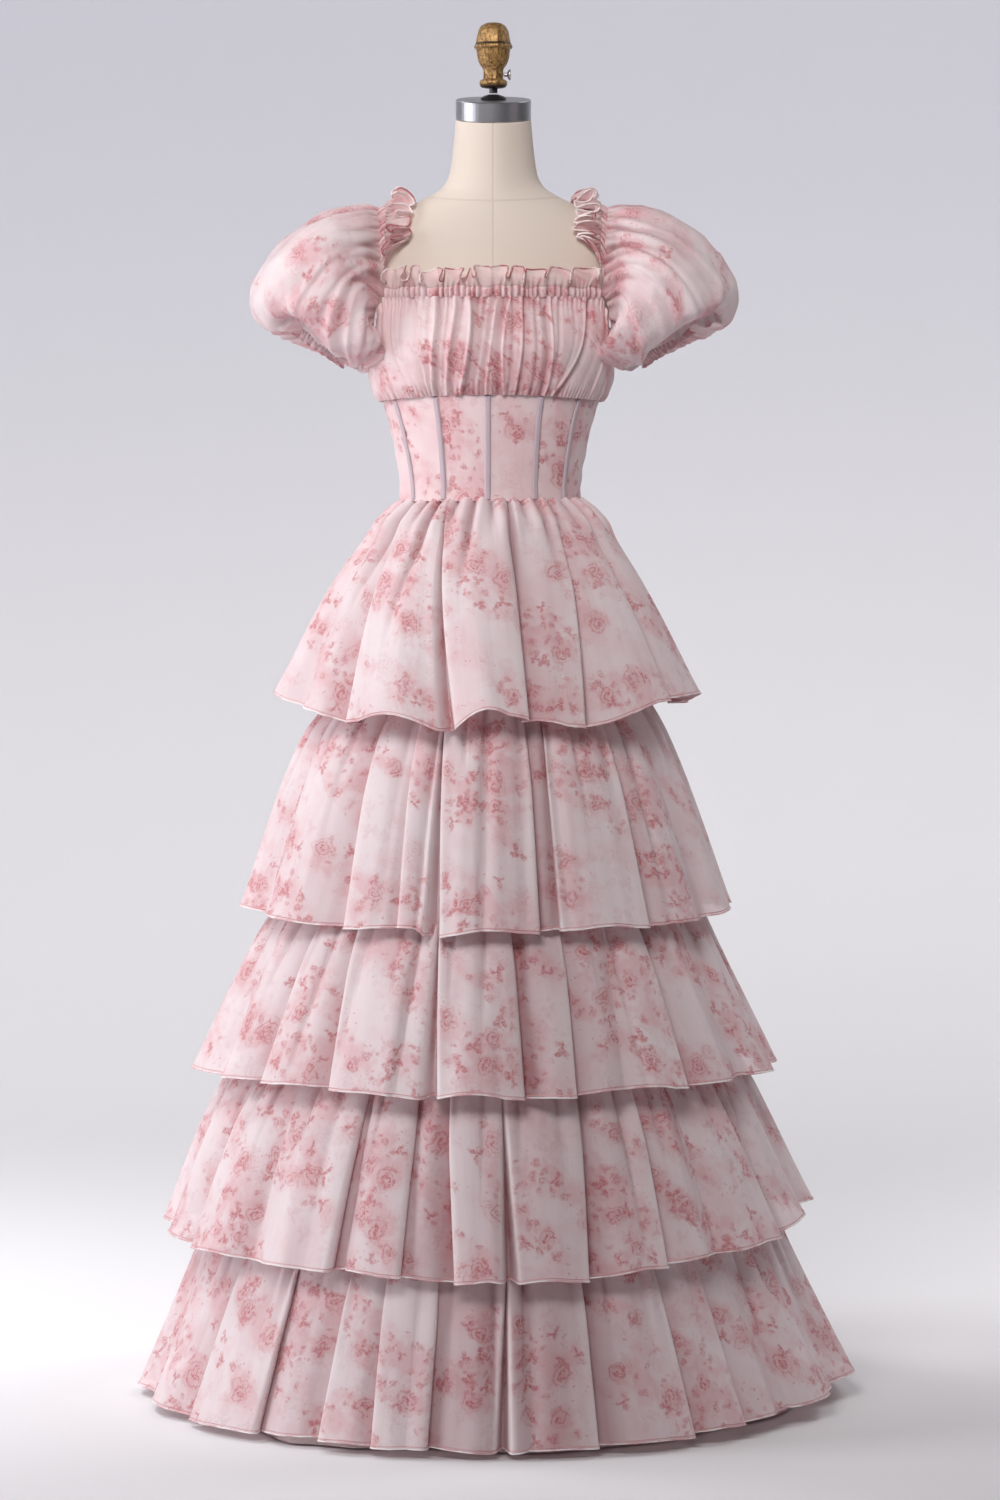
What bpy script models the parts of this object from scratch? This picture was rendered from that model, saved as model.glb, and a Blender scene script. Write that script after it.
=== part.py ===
"""Off-shoulder tiered prom dress, standing on a limbless dress form.

Metres, +Z up, the front faces -Y, +X is the wearer's left (the viewer's right).
The floor is z = 0 and the form's post stands on the Z axis.
Angles round the body are in degrees from the centre front, positive to +X.
"""
import bpy
import bmesh
import math
from math import radians, sin, cos, pi, sqrt
from mathutils import Vector, Matrix

# ---------------------------------------------------------------- sizes (m)
CLOTH = 0.0012            # skirt, sleeve and frill cloth
BODICE_CLOTH = 0.0016     # backed corset cloth
BONE_WIDTH = 0.0080       # boning channel
BONE_THICK = 0.0014
SEAM = 0.0004             # gap between pieces at a seam
WAIST_Z = 1.0905
UNDERBUST_FRONT_Z = 1.2185
UNDERBUST_SIDE_Z = 1.2125
NECK_FRONT_Z = 1.3360
NECK_BACK_Z = 1.3560
UNDERARM_Z = 1.2620
NECK_CORNER_DEG = 60.0
NECK_CORNER_BACK_DEG = 122.0
SHOULDER_X = 0.1370
SHOULDER_Z = 1.4430
CASING_WIDTH = 0.0110     # elastic casing under the neck frill
FRILL_HEIGHT = 0.0230
CUFF_CASING = 0.0080
CUFF_FRILL = 0.0090

POST_RADIUS = 0.0140
BASE_RADIUS = 0.2000
BASE_THICK = 0.0120
CAP_RADIUS = 0.0458
CAP_HEIGHT = 0.0235
CAP_TILT_DEG = 10.0       # the neck top leans towards the front
CAP_Z = 1.5535            # centre of the cap's lower edge
NECK_ROD_RADIUS = 0.0050

# ------------------------------------------------- bodice: one row a level
BODICE = (
    # z,      half_width, front,  back,   centre_x
    (1.0700, 0.1125, 0.0880, 0.0820, -0.0040),
    (1.0905, 0.1105, 0.0860, 0.0800, -0.0040),
    (1.1050, 0.1100, 0.0856, 0.0800, -0.0040),
    (1.1200, 0.1112, 0.0870, 0.0812, -0.0038),
    (1.1500, 0.1160, 0.0915, 0.0842, -0.0036),
    (1.1800, 0.1222, 0.0970, 0.0885, -0.0034),
    (1.2150, 0.1325, 0.1040, 0.0935, -0.0030),
    (1.2400, 0.1400, 0.1110, 0.0985, -0.0025),
    (1.2750, 0.1455, 0.1170, 0.1030, -0.0020),
    (1.3100, 0.1475, 0.1115, 0.1060, -0.0015),
    (1.3400, 0.1500, 0.1030, 0.1075, -0.0010),
    (1.3750, 0.1500, 0.0980, 0.1060, -0.0010),
)
BUST_APEX_DEG = 27.0
BUST_APEX_Z = 1.2720
BUST_FULL = 0.0070

# ------------------------------------------------ skirt lining: one row a level
LINING = (
    # z,      half_width, front,  fold
    (1.0865, 0.1066, 0.0784, 0.000),
    (1.0600, 0.1140, 0.0880, 0.001),
    (0.8700, 0.1650, 0.1440, 0.003),
    (0.6300, 0.2290, 0.2130, 0.006),
    (0.4400, 0.2760, 0.2610, 0.008),
    (0.2450, 0.3200, 0.3060, 0.010),
    (0.1500, 0.3400, 0.3270, 0.011),
    (0.0050, 0.3860, 0.3760, 0.014),
)
LINING_FOLDS = 11

# ------------------------------------------------ tiers: one row a level
# left/right/front/back are the half sizes of the fold crests, fold is how
# far the fold valleys lie inside them
TIER_LEVELS = {
    1: (
        # z,      left,   right,  front,  back,   fold
        (1.0900, 0.1118, 0.1100, 0.0870, 0.0815, 0.0000),
        (1.0640, 0.1390, 0.1340, 0.1130, 0.1060, 0.0060),
        (0.9900, 0.1930, 0.1810, 0.1640, 0.1560, 0.0150),
        (0.8360, 0.2640, 0.2480, 0.2350, 0.2280, 0.0260),
    ),
    2: (
        (0.8730, 0.1790, 0.1760, 0.1560, 0.1530, 0.0030),
        (0.8050, 0.2330, 0.2130, 0.2060, 0.1990, 0.0130),
        (0.5920, 0.3030, 0.2850, 0.2760, 0.2700, 0.0250),
    ),
    3: (
        (0.6330, 0.2440, 0.2390, 0.2260, 0.2220, 0.0030),
        (0.5600, 0.2900, 0.2710, 0.2680, 0.2600, 0.0140),
        (0.4080, 0.3600, 0.3410, 0.3350, 0.3270, 0.0250),
    ),
    4: (
        (0.4430, 0.2920, 0.2880, 0.2760, 0.2720, 0.0030),
        (0.3600, 0.3420, 0.3260, 0.3220, 0.3120, 0.0130),
        (0.2030, 0.3980, 0.3840, 0.3790, 0.3690, 0.0240),
    ),
    5: (
        (0.2480, 0.3380, 0.3360, 0.3240, 0.3180, 0.0020),
        (0.1650, 0.3680, 0.3690, 0.3590, 0.3480, 0.0120),
        (0.0135, 0.4270, 0.4330, 0.4200, 0.4080, 0.0210),
    ),
}

# Folds: one row a fold.  waist_deg and hem_deg place the valley at the
# tier's seam and at its hem.  lap: L the face before the valley laps over
# the next, R the face after it laps back, O open box valley, S soft.
# deep scales the tier's fold size, out_mm moves the face after the valley,
# drop_mm lowers the hem at the valley, arch_mm lifts it on that face.
FOLDS = {
    1: (
        # waist, hem,  lap, deep, out_mm, drop_mm, arch_mm
        (-75.0, -66.0, "S", 0.60, 0.0, -8.0, 6.0),
        (-50.0, -41.0, "R", 0.85, 3.0, 10.0, 19.0),
        (-28.0, -12.0, "O", 1.15, 3.0, 17.0, 24.0),
        (5.0, 8.0, "L", 0.90, -7.0, 6.0, 6.0),
        (34.0, 24.0, "L", 0.90, 2.0, 13.0, 3.0),
        (54.0, 55.0, "L", 0.60, 1.0, -18.0, 4.0),
        (88.0, 82.0, "S", 0.60, 0.0, -20.0, 6.0),
        (112.0, 108.0, "R", 0.85, 2.0, -4.0, 16.0),
        (135.0, 132.0, "S", 0.60, 0.0, 4.0, 12.0),
        (158.0, 156.0, "L", 0.95, 2.0, 14.0, 18.0),
        (181.0, 182.0, "S", 0.70, 1.0, 6.0, 14.0),
        (204.0, 206.0, "R", 0.95, 0.0, 13.0, 18.0),
        (226.0, 228.0, "S", 0.60, 2.0, 2.0, 12.0),
        (247.0, 251.0, "L", 0.85, 0.0, -6.0, 10.0),
        (268.0, 272.0, "S", 0.60, 0.0, -20.0, 8.0),
    ),
    2: (
        (-68.0, -71.0, "S", 0.45, 0.0, -4.0, 2.0),
        (-38.0, -35.0, "R", 0.90, 2.0, 3.0, 2.0),
        (-24.0, -21.0, "R", 0.45, 1.0, -1.0, 5.0),
        (-17.0, -14.0, "O", 1.15, 2.0, 10.0, 8.0),
        (9.0, 9.5, "L", 0.80, -9.0, 5.0, 2.0),
        (17.5, 17.0, "R", 0.55, 1.0, 2.0, 6.0),
        (38.0, 38.0, "L", 0.85, 0.0, 3.0, 3.0),
        (58.0, 64.0, "S", 0.50, 1.0, 0.0, 3.0),
        (84.0, 86.0, "S", 0.55, 0.0, -6.0, 4.0),
        (108.0, 109.0, "L", 0.85, 1.0, 2.0, 6.0),
        (132.0, 130.0, "S", 0.60, 0.0, -2.0, 6.0),
        (155.0, 157.0, "R", 0.95, 2.0, 6.0, 7.0),
        (180.0, 179.0, "S", 0.60, 0.0, 0.0, 6.0),
        (203.0, 205.0, "L", 0.90, 1.0, 7.0, 7.0),
        (226.0, 226.0, "S", 0.55, 0.0, -2.0, 5.0),
        (248.0, 247.0, "R", 0.85, 1.0, 3.0, 6.0),
        (270.0, 268.0, "S", 0.50, 0.0, -6.0, 4.0),
    ),
    3: (
        (-69.0, -69.0, "S", 0.45, 0.0, 6.0, 3.0),
        (-50.0, -49.0, "R", 0.85, 1.0, 2.0, 4.0),
        (-37.0, -32.0, "R", 0.85, 2.0, 2.0, 3.0),
        (-15.0, -12.0, "O", 1.10, 1.0, 7.0, 9.0),
        (3.0, 5.0, "L", 0.95, 0.0, 8.0, 3.0),
        (17.0, 15.0, "L", 0.65, -3.0, 6.0, 4.0),
        (31.0, 27.0, "S", 0.45, 1.0, 0.0, 5.0),
        (41.0, 40.0, "L", 0.90, 0.0, 4.0, 3.0),
        (60.0, 61.0, "S", 0.50, 0.0, 2.0, 3.0),
        (86.0, 85.0, "S", 0.55, 1.0, 8.0, 4.0),
        (109.0, 111.0, "R", 0.90, 1.0, 8.0, 6.0),
        (131.0, 133.0, "S", 0.55, 0.0, 2.0, 6.0),
        (154.0, 153.0, "L", 0.95, 2.0, 7.0, 8.0),
        (176.0, 178.0, "S", 0.60, 0.0, 0.0, 6.0),
        (199.0, 201.0, "R", 0.90, 1.0, 7.0, 6.0),
        (222.0, 223.0, "S", 0.55, 0.0, 2.0, 5.0),
        (246.0, 245.0, "L", 0.85, 0.0, 6.0, 5.0),
        (268.0, 268.0, "S", 0.50, 1.0, 8.0, 4.0),
    ),
    4: (
        (-60.0, -64.0, "R", 0.80, 2.0, 2.0, 6.0),
        (-46.0, -47.0, "S", 0.45, 0.0, 2.0, 3.0),
        (-28.0, -30.0, "L", 0.90, -3.0, 2.0, 4.0),
        (-17.0, -17.0, "L", 0.60, -9.0, 4.0, 1.0),
        (-9.5, -5.5, "R", 0.90, 4.0, 10.0, 6.0),
        (1.5, 3.0, "O", 1.15, 2.0, 8.0, 5.0),
        (18.0, 15.5, "L", 0.80, 0.0, 8.0, 4.0),
        (31.0, 30.5, "L", 0.90, -2.0, -2.0, 4.0),
        (42.0, 44.0, "S", 0.50, 0.0, -8.0, 3.0),
        (54.0, 61.0, "L", 0.70, 0.0, -14.0, 3.0),
        (77.0, 80.0, "S", 0.55, 2.0, -34.0, 6.0),
        (98.0, 100.0, "R", 0.80, 1.0, -20.0, 6.0),
        (120.0, 121.0, "S", 0.55, 0.0, 0.0, 5.0),
        (142.0, 141.0, "L", 0.90, 1.0, 7.0, 6.0),
        (164.0, 165.0, "S", 0.55, 0.0, 2.0, 5.0),
        (187.0, 188.0, "R", 0.90, 1.0, 8.0, 6.0),
        (210.0, 209.0, "S", 0.55, 0.0, 2.0, 5.0),
        (232.0, 231.0, "L", 0.90, 1.0, 7.0, 6.0),
        (254.0, 253.0, "S", 0.50, 0.0, 2.0, 5.0),
        (277.0, 275.0, "S", 0.55, 1.0, -4.0, 5.0),
    ),
    5: (
        (-78.0, -78.0, "S", 0.50, 0.0, 3.0, 3.0),
        (-55.0, -56.0, "R", 0.85, 1.0, 5.0, 2.0),
        (-41.0, -41.0, "L", 0.70, -4.0, 3.0, 2.0),
        (-27.0, -27.0, "R", 0.85, 1.0, 1.0, 3.0),
        (-20.0, -18.0, "R", 0.45, 1.0, 3.0, 1.0),
        (-11.0, -11.0, "L", 0.70, -2.0, 2.0, 1.0),
        (3.0, 1.5, "O", 1.05, -2.0, 6.0, 3.0),
        (16.0, 15.5, "L", 0.80, -2.0, 3.0, 3.0),
        (31.0, 32.0, "L", 0.85, -3.0, 1.0, 4.0),
        (41.0, 42.0, "L", 0.65, -1.0, -4.0, 4.0),
        (52.0, 53.0, "S", 0.55, 0.0, -8.0, 3.0),
        (72.0, 74.0, "S", 0.55, 0.0, -14.0, 5.0),
        (94.0, 95.0, "L", 0.80, 0.0, -12.0, 5.0),
        (116.0, 117.0, "S", 0.55, 0.0, -2.0, 5.0),
        (138.0, 137.0, "R", 0.85, 1.0, 3.0, 5.0),
        (160.0, 161.0, "S", 0.55, 0.0, 1.0, 4.0),
        (183.0, 182.0, "L", 0.90, 1.0, 4.0, 5.0),
        (205.0, 206.0, "S", 0.55, 0.0, 1.0, 4.0),
        (227.0, 228.0, "R", 0.85, 1.0, 3.0, 5.0),
        (247.0, 249.0, "S", 0.55, 0.0, 2.0, 4.0),
        (265.0, 266.0, "S", 0.55, 0.0, 4.0, 3.0),
    ),
}
LAP_MM = 5.0              # how far a lapping fold edge reaches past its valley

# ------------------------------------------------ boning: one row a bone
BONES = (
    # name,        top_deg, bottom_deg
    ("bone_front_r2", -61.0, -57.0),
    ("bone_front_r1", -30.0, -30.5),
    ("bone_front_c", -1.5, -1.5),
    ("bone_front_l1", 27.0, 29.5),
    ("bone_front_l2", 53.0, 54.0),
    ("bone_back_l2", 118.0, 120.0),
    ("bone_back_l1", 150.0, 151.0),
    ("bone_back_r1", 210.0, 209.0),
    ("bone_back_r2", 242.0, 240.0),
)
# corset panels: one row a panel, between two seams
PANELS = (
    # name,             left seam top/bottom,  right seam top/bottom
    ("corset_front_r", -30.0, -30.5, -1.5, -1.5),
    ("corset_front_l", -1.5, -1.5, 27.0, 29.5),
    ("corset_side_front_l", 27.0, 29.5, 53.0, 54.0),
    ("corset_side_l", 53.0, 54.0, 118.0, 120.0),
    ("corset_side_back_l", 118.0, 120.0, 150.0, 151.0),
    ("corset_back_l", 150.0, 151.0, 180.0, 180.0),
    ("corset_back_r", 180.0, 180.0, 210.0, 209.0),
    ("corset_side_back_r", 210.0, 209.0, 242.0, 240.0),
    ("corset_side_r", 242.0, 240.0, 299.0, 303.0),
    ("corset_side_front_r", 299.0, 303.0, 330.0, 329.5),
)

# ------------------------------------------------ sleeve: one row a ring
# the outer and inner ends of the ring in the X-Z plane, its reach to the
# front and back, and how far it sags
SLEEVE = (
    # out_x,  out_z,  in_x,   in_z,   front,  back,   hug
    (0.1620, 1.4490, 0.1525, 1.2600, 0.0900, 0.0900, 0.0080),
    (0.2100, 1.4380, 0.1560, 1.2570, 0.1100, 0.1060, 0.0190),
    (0.2620, 1.4010, 0.1590, 1.2540, 0.1110, 0.1070, 0.0220),
    (0.2960, 1.3460, 0.1625, 1.2520, 0.0960, 0.0940, 0.0160),
    (0.2820, 1.3030, 0.1675, 1.2520, 0.0700, 0.0700, 0.0080),
)
CUFF_RING = (0.2330, 1.3050, 0.1760, 1.2660, 0.0420, 0.0440, 0.0)
CUFF_DROP = (0.60, -0.80)    # x, z direction the cuff points

# ------------------------------------------------ form torso: one row a ring
TORSO = (
    # z,      half_width, front,  back,  centre_y, tilt_deg
    (0.8400, 0.1180, 0.0920, 0.0980, 0.0, 0.0),
    (0.8500, 0.1290, 0.1000, 0.1060, 0.0, 0.0),
    (0.9300, 0.1330, 0.1020, 0.1080, 0.0, 0.0),
    (1.0000, 0.1190, 0.0920, 0.0950, 0.0, 0.0),
    (1.0550, 0.1020, 0.0745, 0.0730, 0.0, 0.0),
    (1.0900, 0.0990, 0.0730, 0.0715, 0.0, 0.0),
    (1.1200, 0.1015, 0.0765, 0.0735, 0.0, 0.0),
    (1.1600, 0.1080, 0.0840, 0.0790, 0.0, 0.0),
    (1.2150, 0.1240, 0.0950, 0.0870, 0.0, 0.0),
    (1.2720, 0.1370, 0.1060, 0.0960, 0.0, 0.0),
    (1.3200, 0.1420, 0.1000, 0.0970, 0.0, 0.0),
    (1.3600, 0.1500, 0.0840, 0.0900, 0.0, 0.0),
    (1.3900, 0.1580, 0.0740, 0.0840, 0.0, 0.0),
    (1.4120, 0.1530, 0.0680, 0.0780, 0.0, 0.0),
    (1.4300, 0.1340, 0.0640, 0.0730, 0.001, 0.0),
    (1.4460, 0.1070, 0.0600, 0.0700, 0.002, 1.0),
    (1.4600, 0.0790, 0.0560, 0.0660, 0.002, 3.0),
    (1.4720, 0.0610, 0.0520, 0.0600, 0.001, 5.0),
    (1.4860, 0.0535, 0.0490, 0.0540, 0.000, 7.0),
    (1.5150, 0.0490, 0.0470, 0.0490, 0.000, 9.0),
    (1.5530, 0.0455, 0.0455, 0.0455, 0.000, 10.0),
)

# ------------------------------------------------ turned pieces
FINIAL = (
    # radius, z
    (0.0000, 1.6695), (0.0090, 1.6685), (0.0145, 1.6655), (0.0180, 1.6600),
    (0.0198, 1.6520), (0.0212, 1.6440), (0.0220, 1.6430), (0.0234, 1.6405),
    (0.0232, 1.6385), (0.0205, 1.6370), (0.0198, 1.6310), (0.0188, 1.6250),
    (0.0160, 1.6180), (0.0128, 1.6140), (0.0120, 1.6120), (0.0120, 1.6010),
    (0.0150, 1.6000), (0.0168, 1.5980), (0.0168, 1.5945), (0.0150, 1.5915),
    (0.0110, 1.5905), (0.0000, 1.5905),
)
SCREW_Z = 1.6065
SCREW_X = 0.0200          # inner face of the thumb screw's head


# =================================================================== helpers
def clear_scene():
    for ob in list(bpy.data.objects):
        bpy.data.objects.remove(ob, do_unlink=True)
    for group in (bpy.data.meshes, bpy.data.curves, bpy.data.materials):
        for item in list(group):
            group.remove(item)
    for coll in list(bpy.data.collections):
        bpy.data.collections.remove(coll)


def material(name, colour, rough, metal=0.0):
    mat = bpy.data.materials.get(name)
    if mat is None:
        mat = bpy.data.materials.new(name)
        mat.use_nodes = True
        shader = mat.node_tree.nodes["Principled BSDF"]
        shader.inputs["Base Color"].default_value = (*colour, 1.0)
        shader.inputs["Roughness"].default_value = rough
        shader.inputs["Metallic"].default_value = metal
        mat.diffuse_color = (*colour, 1.0)
    return mat


def hermite(rows, z, column):
    """Smooth value of a column at height z; rows run steadily in z."""
    up = rows[-1][0] > rows[0][0]
    table = rows if up else tuple(reversed(rows))
    zs = [r[0] for r in table]
    vs = [r[column] for r in table]
    n = len(zs)
    if z <= zs[0]:
        return vs[0]
    if z >= zs[-1]:
        return vs[-1]
    i = 0
    while zs[i + 1] < z:
        i += 1
    d = [(vs[j + 1] - vs[j]) / (zs[j + 1] - zs[j]) for j in range(n - 1)]

    def slope(j):
        if j == 0:
            return d[0]
        if j == n - 1:
            return d[-1]
        if d[j - 1] * d[j] <= 0:
            return 0.0
        return 2 * d[j - 1] * d[j] / (d[j - 1] + d[j])
    h = zs[i + 1] - zs[i]
    t = (z - zs[i]) / h
    m0, m1 = slope(i) * h, slope(i + 1) * h
    return ((2 * t ** 3 - 3 * t ** 2 + 1) * vs[i] + (t ** 3 - 2 * t ** 2 + t) * m0
            + (-2 * t ** 3 + 3 * t ** 2) * vs[i + 1] + (t ** 3 - t ** 2) * m1)


def step(a, b, x):
    t = max(0.0, min(1.0, (x - a) / (b - a)))
    return t * t * (3 - 2 * t)


def wrap(deg):
    return (deg + 180.0) % 360.0 - 180.0


def mesh_object(name, verts, faces, mat, coll, smooth=True):
    me = bpy.data.meshes.new(name)
    me.from_pydata([tuple(v) for v in verts], [], faces)
    me.validate()
    me.update()
    ob = bpy.data.objects.new(name, me)
    coll.objects.link(ob)
    me.materials.append(mat)
    for p in me.polygons:
        p.use_smooth = smooth
    return ob


def cloth(name, rows, mat, coll, thick, around=False, flip=False):
    """A sheet through rows of points, given its thickness inwards."""
    n = len(rows[0])
    verts = [p for row in rows for p in row]
    faces = []
    span = n if around else n - 1
    for i in range(len(rows) - 1):
        for j in range(span):
            a, b = i * n + j, i * n + (j + 1) % n
            c, d = (i + 1) * n + (j + 1) % n, (i + 1) * n + j
            faces.append((a, b, c, d) if flip else (a, d, c, b))
    ob = mesh_object(name, verts, faces, mat, coll)
    mod = ob.modifiers.new("cloth", 'SOLIDIFY')
    mod.thickness = thick
    mod.offset = -1.0
    mod.use_even_offset = False
    mod.use_quality_normals = True
    return ob


def loft(name, rings, mat, coll):
    """A whole solid through closed rings, ends filled flat."""
    n = len(rings[0])
    verts = [p for r in rings for p in r]
    faces = []
    for i in range(len(rings) - 1):
        for j in range(n):
            a, b = i * n + j, i * n + (j + 1) % n
            faces.append((a, b, b + n, a + n))
    faces.append(tuple(range(n - 1, -1, -1)))
    last = (len(rings) - 1) * n
    faces.append(tuple(last + j for j in range(n)))
    return mesh_object(name, verts, faces, mat, coll)


def turned(name, profile, mat, coll, sides=32):
    """A profile of (radius, z) points turned about Z with a Screw."""
    if profile[0][1] < profile[-1][1]:
        profile = tuple(reversed(profile))
    verts = [(r, 0.0, z) for r, z in profile]
    me = bpy.data.meshes.new(name)
    me.from_pydata(verts, [(i, i + 1) for i in range(len(verts) - 1)], [])
    ob = bpy.data.objects.new(name, me)
    coll.objects.link(ob)
    me.materials.append(mat)
    mod = ob.modifiers.new("turn", 'SCREW')
    mod.axis = 'Z'
    mod.angle = 2 * pi
    mod.steps = sides
    mod.render_steps = sides
    mod.use_merge_vertices = True
    mod.merge_threshold = 0.0001
    mod.use_smooth_shade = True
    return ob


# ============================================================ garment shapes
def bust_full(deg, z):
    a = (abs(wrap(deg)) - BUST_APEX_DEG) / 17.0
    b = (z - BUST_APEX_Z) / 0.034
    return BUST_FULL * math.exp(-a * a - b * b)


def body_point(deg, z, out=0.0):
    """A point on the outside of the bodice, moved out by `out`."""
    a = hermite(BODICE, z, 1)
    front = cos(radians(deg)) > 0
    b = hermite(BODICE, z, 2 if front else 3)
    cx = hermite(BODICE, z, 4)
    s, c = sin(radians(deg)), cos(radians(deg))
    nx, ny = s / a, -c / b
    ln = sqrt(nx * nx + ny * ny)
    o = out + bust_full(deg, z)
    return Vector((cx + a * s + o * nx / ln, -b * c + o * ny / ln, z))


def underbust_z(deg):
    return UNDERBUST_SIDE_Z + (UNDERBUST_FRONT_Z - UNDERBUST_SIDE_Z) * max(0.0, cos(radians(deg))) ** 2


def neck_edge_z(deg):
    """Height of the bodice's upper edge: level at front and back, dipping
    to the underarm between."""
    d = abs(wrap(deg))
    if d <= 90.0:
        t = max(0.0, (d - NECK_CORNER_DEG) / (90.0 - NECK_CORNER_DEG))
        top = NECK_FRONT_Z
    else:
        t = max(0.0, (NECK_CORNER_BACK_DEG - d) / (NECK_CORNER_BACK_DEG - 90.0))
        top = NECK_BACK_Z
    return top + (UNDERARM_Z - top) * sin(t * pi / 2) ** 1.3


def tier_ring(tier, z):
    rows = TIER_LEVELS[tier]
    return [hermite(rows, z, k) for k in range(1, 6)]


def tier_point(tier, face, s, t):
    """face: fold row whose face this is; s 0..1 across it; t 0 top..1 hem."""
    rows = FOLDS[tier]
    n = len(rows)
    here, after = rows[face], rows[(face + 1) % n]
    turn = 360.0 if face == n - 1 else 0.0
    ease = t ** 0.75
    v0 = here[0] + (here[1] - here[0]) * ease
    v1 = after[0] + turn + (after[1] - after[0]) * ease
    span = v1 - v0
    levels = TIER_LEVELS[tier]
    z_top, z_hem = levels[0][0], levels[-1][0]
    z = z_top + (z_hem - z_top) * t
    left, right, front, back, fold = tier_ring(tier, z)
    width = 0.5 * (left + right)
    # valley shapes at the two ends of the face
    reach = {"steep": 0.17, "slow": 0.62, "soft": 0.40}
    start = {"L": "slow", "R": "steep", "O": "steep", "S": "soft"}[here[2]]
    end = {"L": "steep", "R": "slow", "O": "steep", "S": "soft"}[after[2]]
    r0, r1 = reach[start], reach[end]
    depth = (here[3] * (1 - step(0.0, r0, s)) + after[3] * (1 - step(0.0, r1, 1 - s))) * fold
    depth -= here[4] * 0.001 * step(0, 0.3, s) * step(0, 0.3, 1 - s) * t
    # fold edges reach past their valleys
    lap = 0.0
    grow = math.degrees(LAP_MM * 0.001 / width) * step(0.0, 0.35, t)
    if start == "steep" and s < 0.3:
        lap -= grow * sin(pi * s / 0.3) * (0.45 if here[2] == "O" else 1.0)
    if end == "steep" and s > 0.7:
        lap += grow * sin(pi * (1 - s) / 0.3) * (0.45 if after[2] == "O" else 1.0)
    deg = v0 + span * s + lap
    a = radians(deg)
    sx = right if sin(a) > 0 else left
    w = sin(a) ** 2
    half = sx if abs(sin(a)) > 0 else width
    # keep the ring round where left and right halves meet
    half = width + (half - width) * w
    b = front if cos(a) > 0 else back
    b = 0.5 * (front + back) + (b - 0.5 * (front + back)) * cos(a) ** 2
    nx, ny = sin(a) / half, -cos(a) / b
    ln = sqrt(nx * nx + ny * ny)
    x = half * sin(a) - depth * nx / ln
    y = -b * cos(a) - depth * ny / ln
    drop = here[5] + (after[5] - here[5]) * step(0, 1, s) - here[6] * sin(pi * s) ** 1.2
    z -= 0.001 * drop * t * t
    return Vector((x, y, z))


def lining_point(deg, t):
    z0, z1 = LINING[0][0], LINING[-1][0]
    z = z0 + (z1 - z0) * t
    w, f, amp = (hermite(LINING, z, k) for k in (1, 2, 3))
    a = radians(deg)
    d = amp * (0.5 - 0.5 * cos(a * LINING_FOLDS + 0.6 * sin(2 * a)))
    return Vector(((w - d) * sin(a), -(f - d) * cos(a), z))


def neck_path(u):
    """The neckline seam: u 0..1 front, 1..2 wearer's left shoulder,
    2..3 back, 3..4 wearer's right shoulder.  Returns point, outward and
    upward directions for the frill."""
    seg = int(u) % 4
    f = u - int(u)
    if seg == 0:
        deg = -NECK_CORNER_DEG + 2 * NECK_CORNER_DEG * f
        p = body_point(deg, NECK_FRONT_Z + 0.0012, 0.0)
        out = Vector((sin(radians(deg)) * 0.8, -cos(radians(deg)), 0)).normalized()
        return p, out, Vector((0, 0, 1))
    if seg == 2:
        deg = NECK_CORNER_BACK_DEG + (360 - 2 * NECK_CORNER_BACK_DEG) * f
        p = body_point(deg, NECK_BACK_Z + 0.0012, 0.0)
        out = Vector((sin(radians(deg)) * 0.8, -cos(radians(deg)), 0)).normalized()
        return p, out, Vector((0, 0, 1))
    sgn = 1.0 if seg == 1 else -1.0
    g = f if seg == 1 else 1.0 - f
    a = body_point(NECK_CORNER_DEG * sgn, NECK_FRONT_Z + 0.0012, 0.0)
    b = body_point(NECK_CORNER_BACK_DEG * sgn, NECK_BACK_Z + 0.0012, 0.0)
    ang = pi * g
    y = -cos(ang)
    y = a.y * -y if y < 0 else b.y * y
    zz = a.z + (b.z - a.z) * g
    z = zz + (SHOULDER_Z - zz) * sin(ang) ** 0.8
    x = a.x + (b.x - a.x) * g + sgn * (SHOULDER_X - abs(0.5 * (a.x + b.x))) * sin(ang)
    k = sin(ang) ** 0.7
    up = Vector((-sgn * 0.80 * k, -cos(ang) * 0.15, 1.0 - 0.40 * k)).normalized()
    out = Vector((sgn * (0.35 + 0.25 * k), -cos(ang) * 0.9, 0.80 * k))
    out = (out - up * out.dot(up)).normalized()
    return Vector((x, y, z)), out, up


def sleeve_seam(psi, sgn):
    """Ring where the sleeve joins the neckline and the bodice.
    psi 0 top, 90 front, 180 underarm, 270 back."""
    psi = psi % 360.0
    if psi <= 90.0:                      # over the front of the shoulder
        g = 0.5 * (1 - psi / 90.0)
        p, o, up = neck_path(1.0 + g if sgn > 0 else 4.0 - g if g > 0 else 3.99999)
        return p + o * 0.0022
    if psi >= 270.0:
        g = 0.5 + 0.5 * (360.0 - psi) / 90.0
        g = min(g, 0.99999)
        p, o, up = neck_path(1.0 + g if sgn > 0 else 4.0 - g)
        return p + o * 0.0022
    if psi <= 180.0:
        f = (psi - 90.0) / 90.0
        deg = NECK_CORNER_DEG + (90.0 - NECK_CORNER_DEG) * f
    else:
        f = (270.0 - psi) / 90.0
        deg = NECK_CORNER_BACK_DEG + (90.0 - NECK_CORNER_BACK_DEG) * f
    z = neck_edge_z(deg)
    return body_point(deg * sgn, z + 0.0014, 0.0050)


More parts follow.
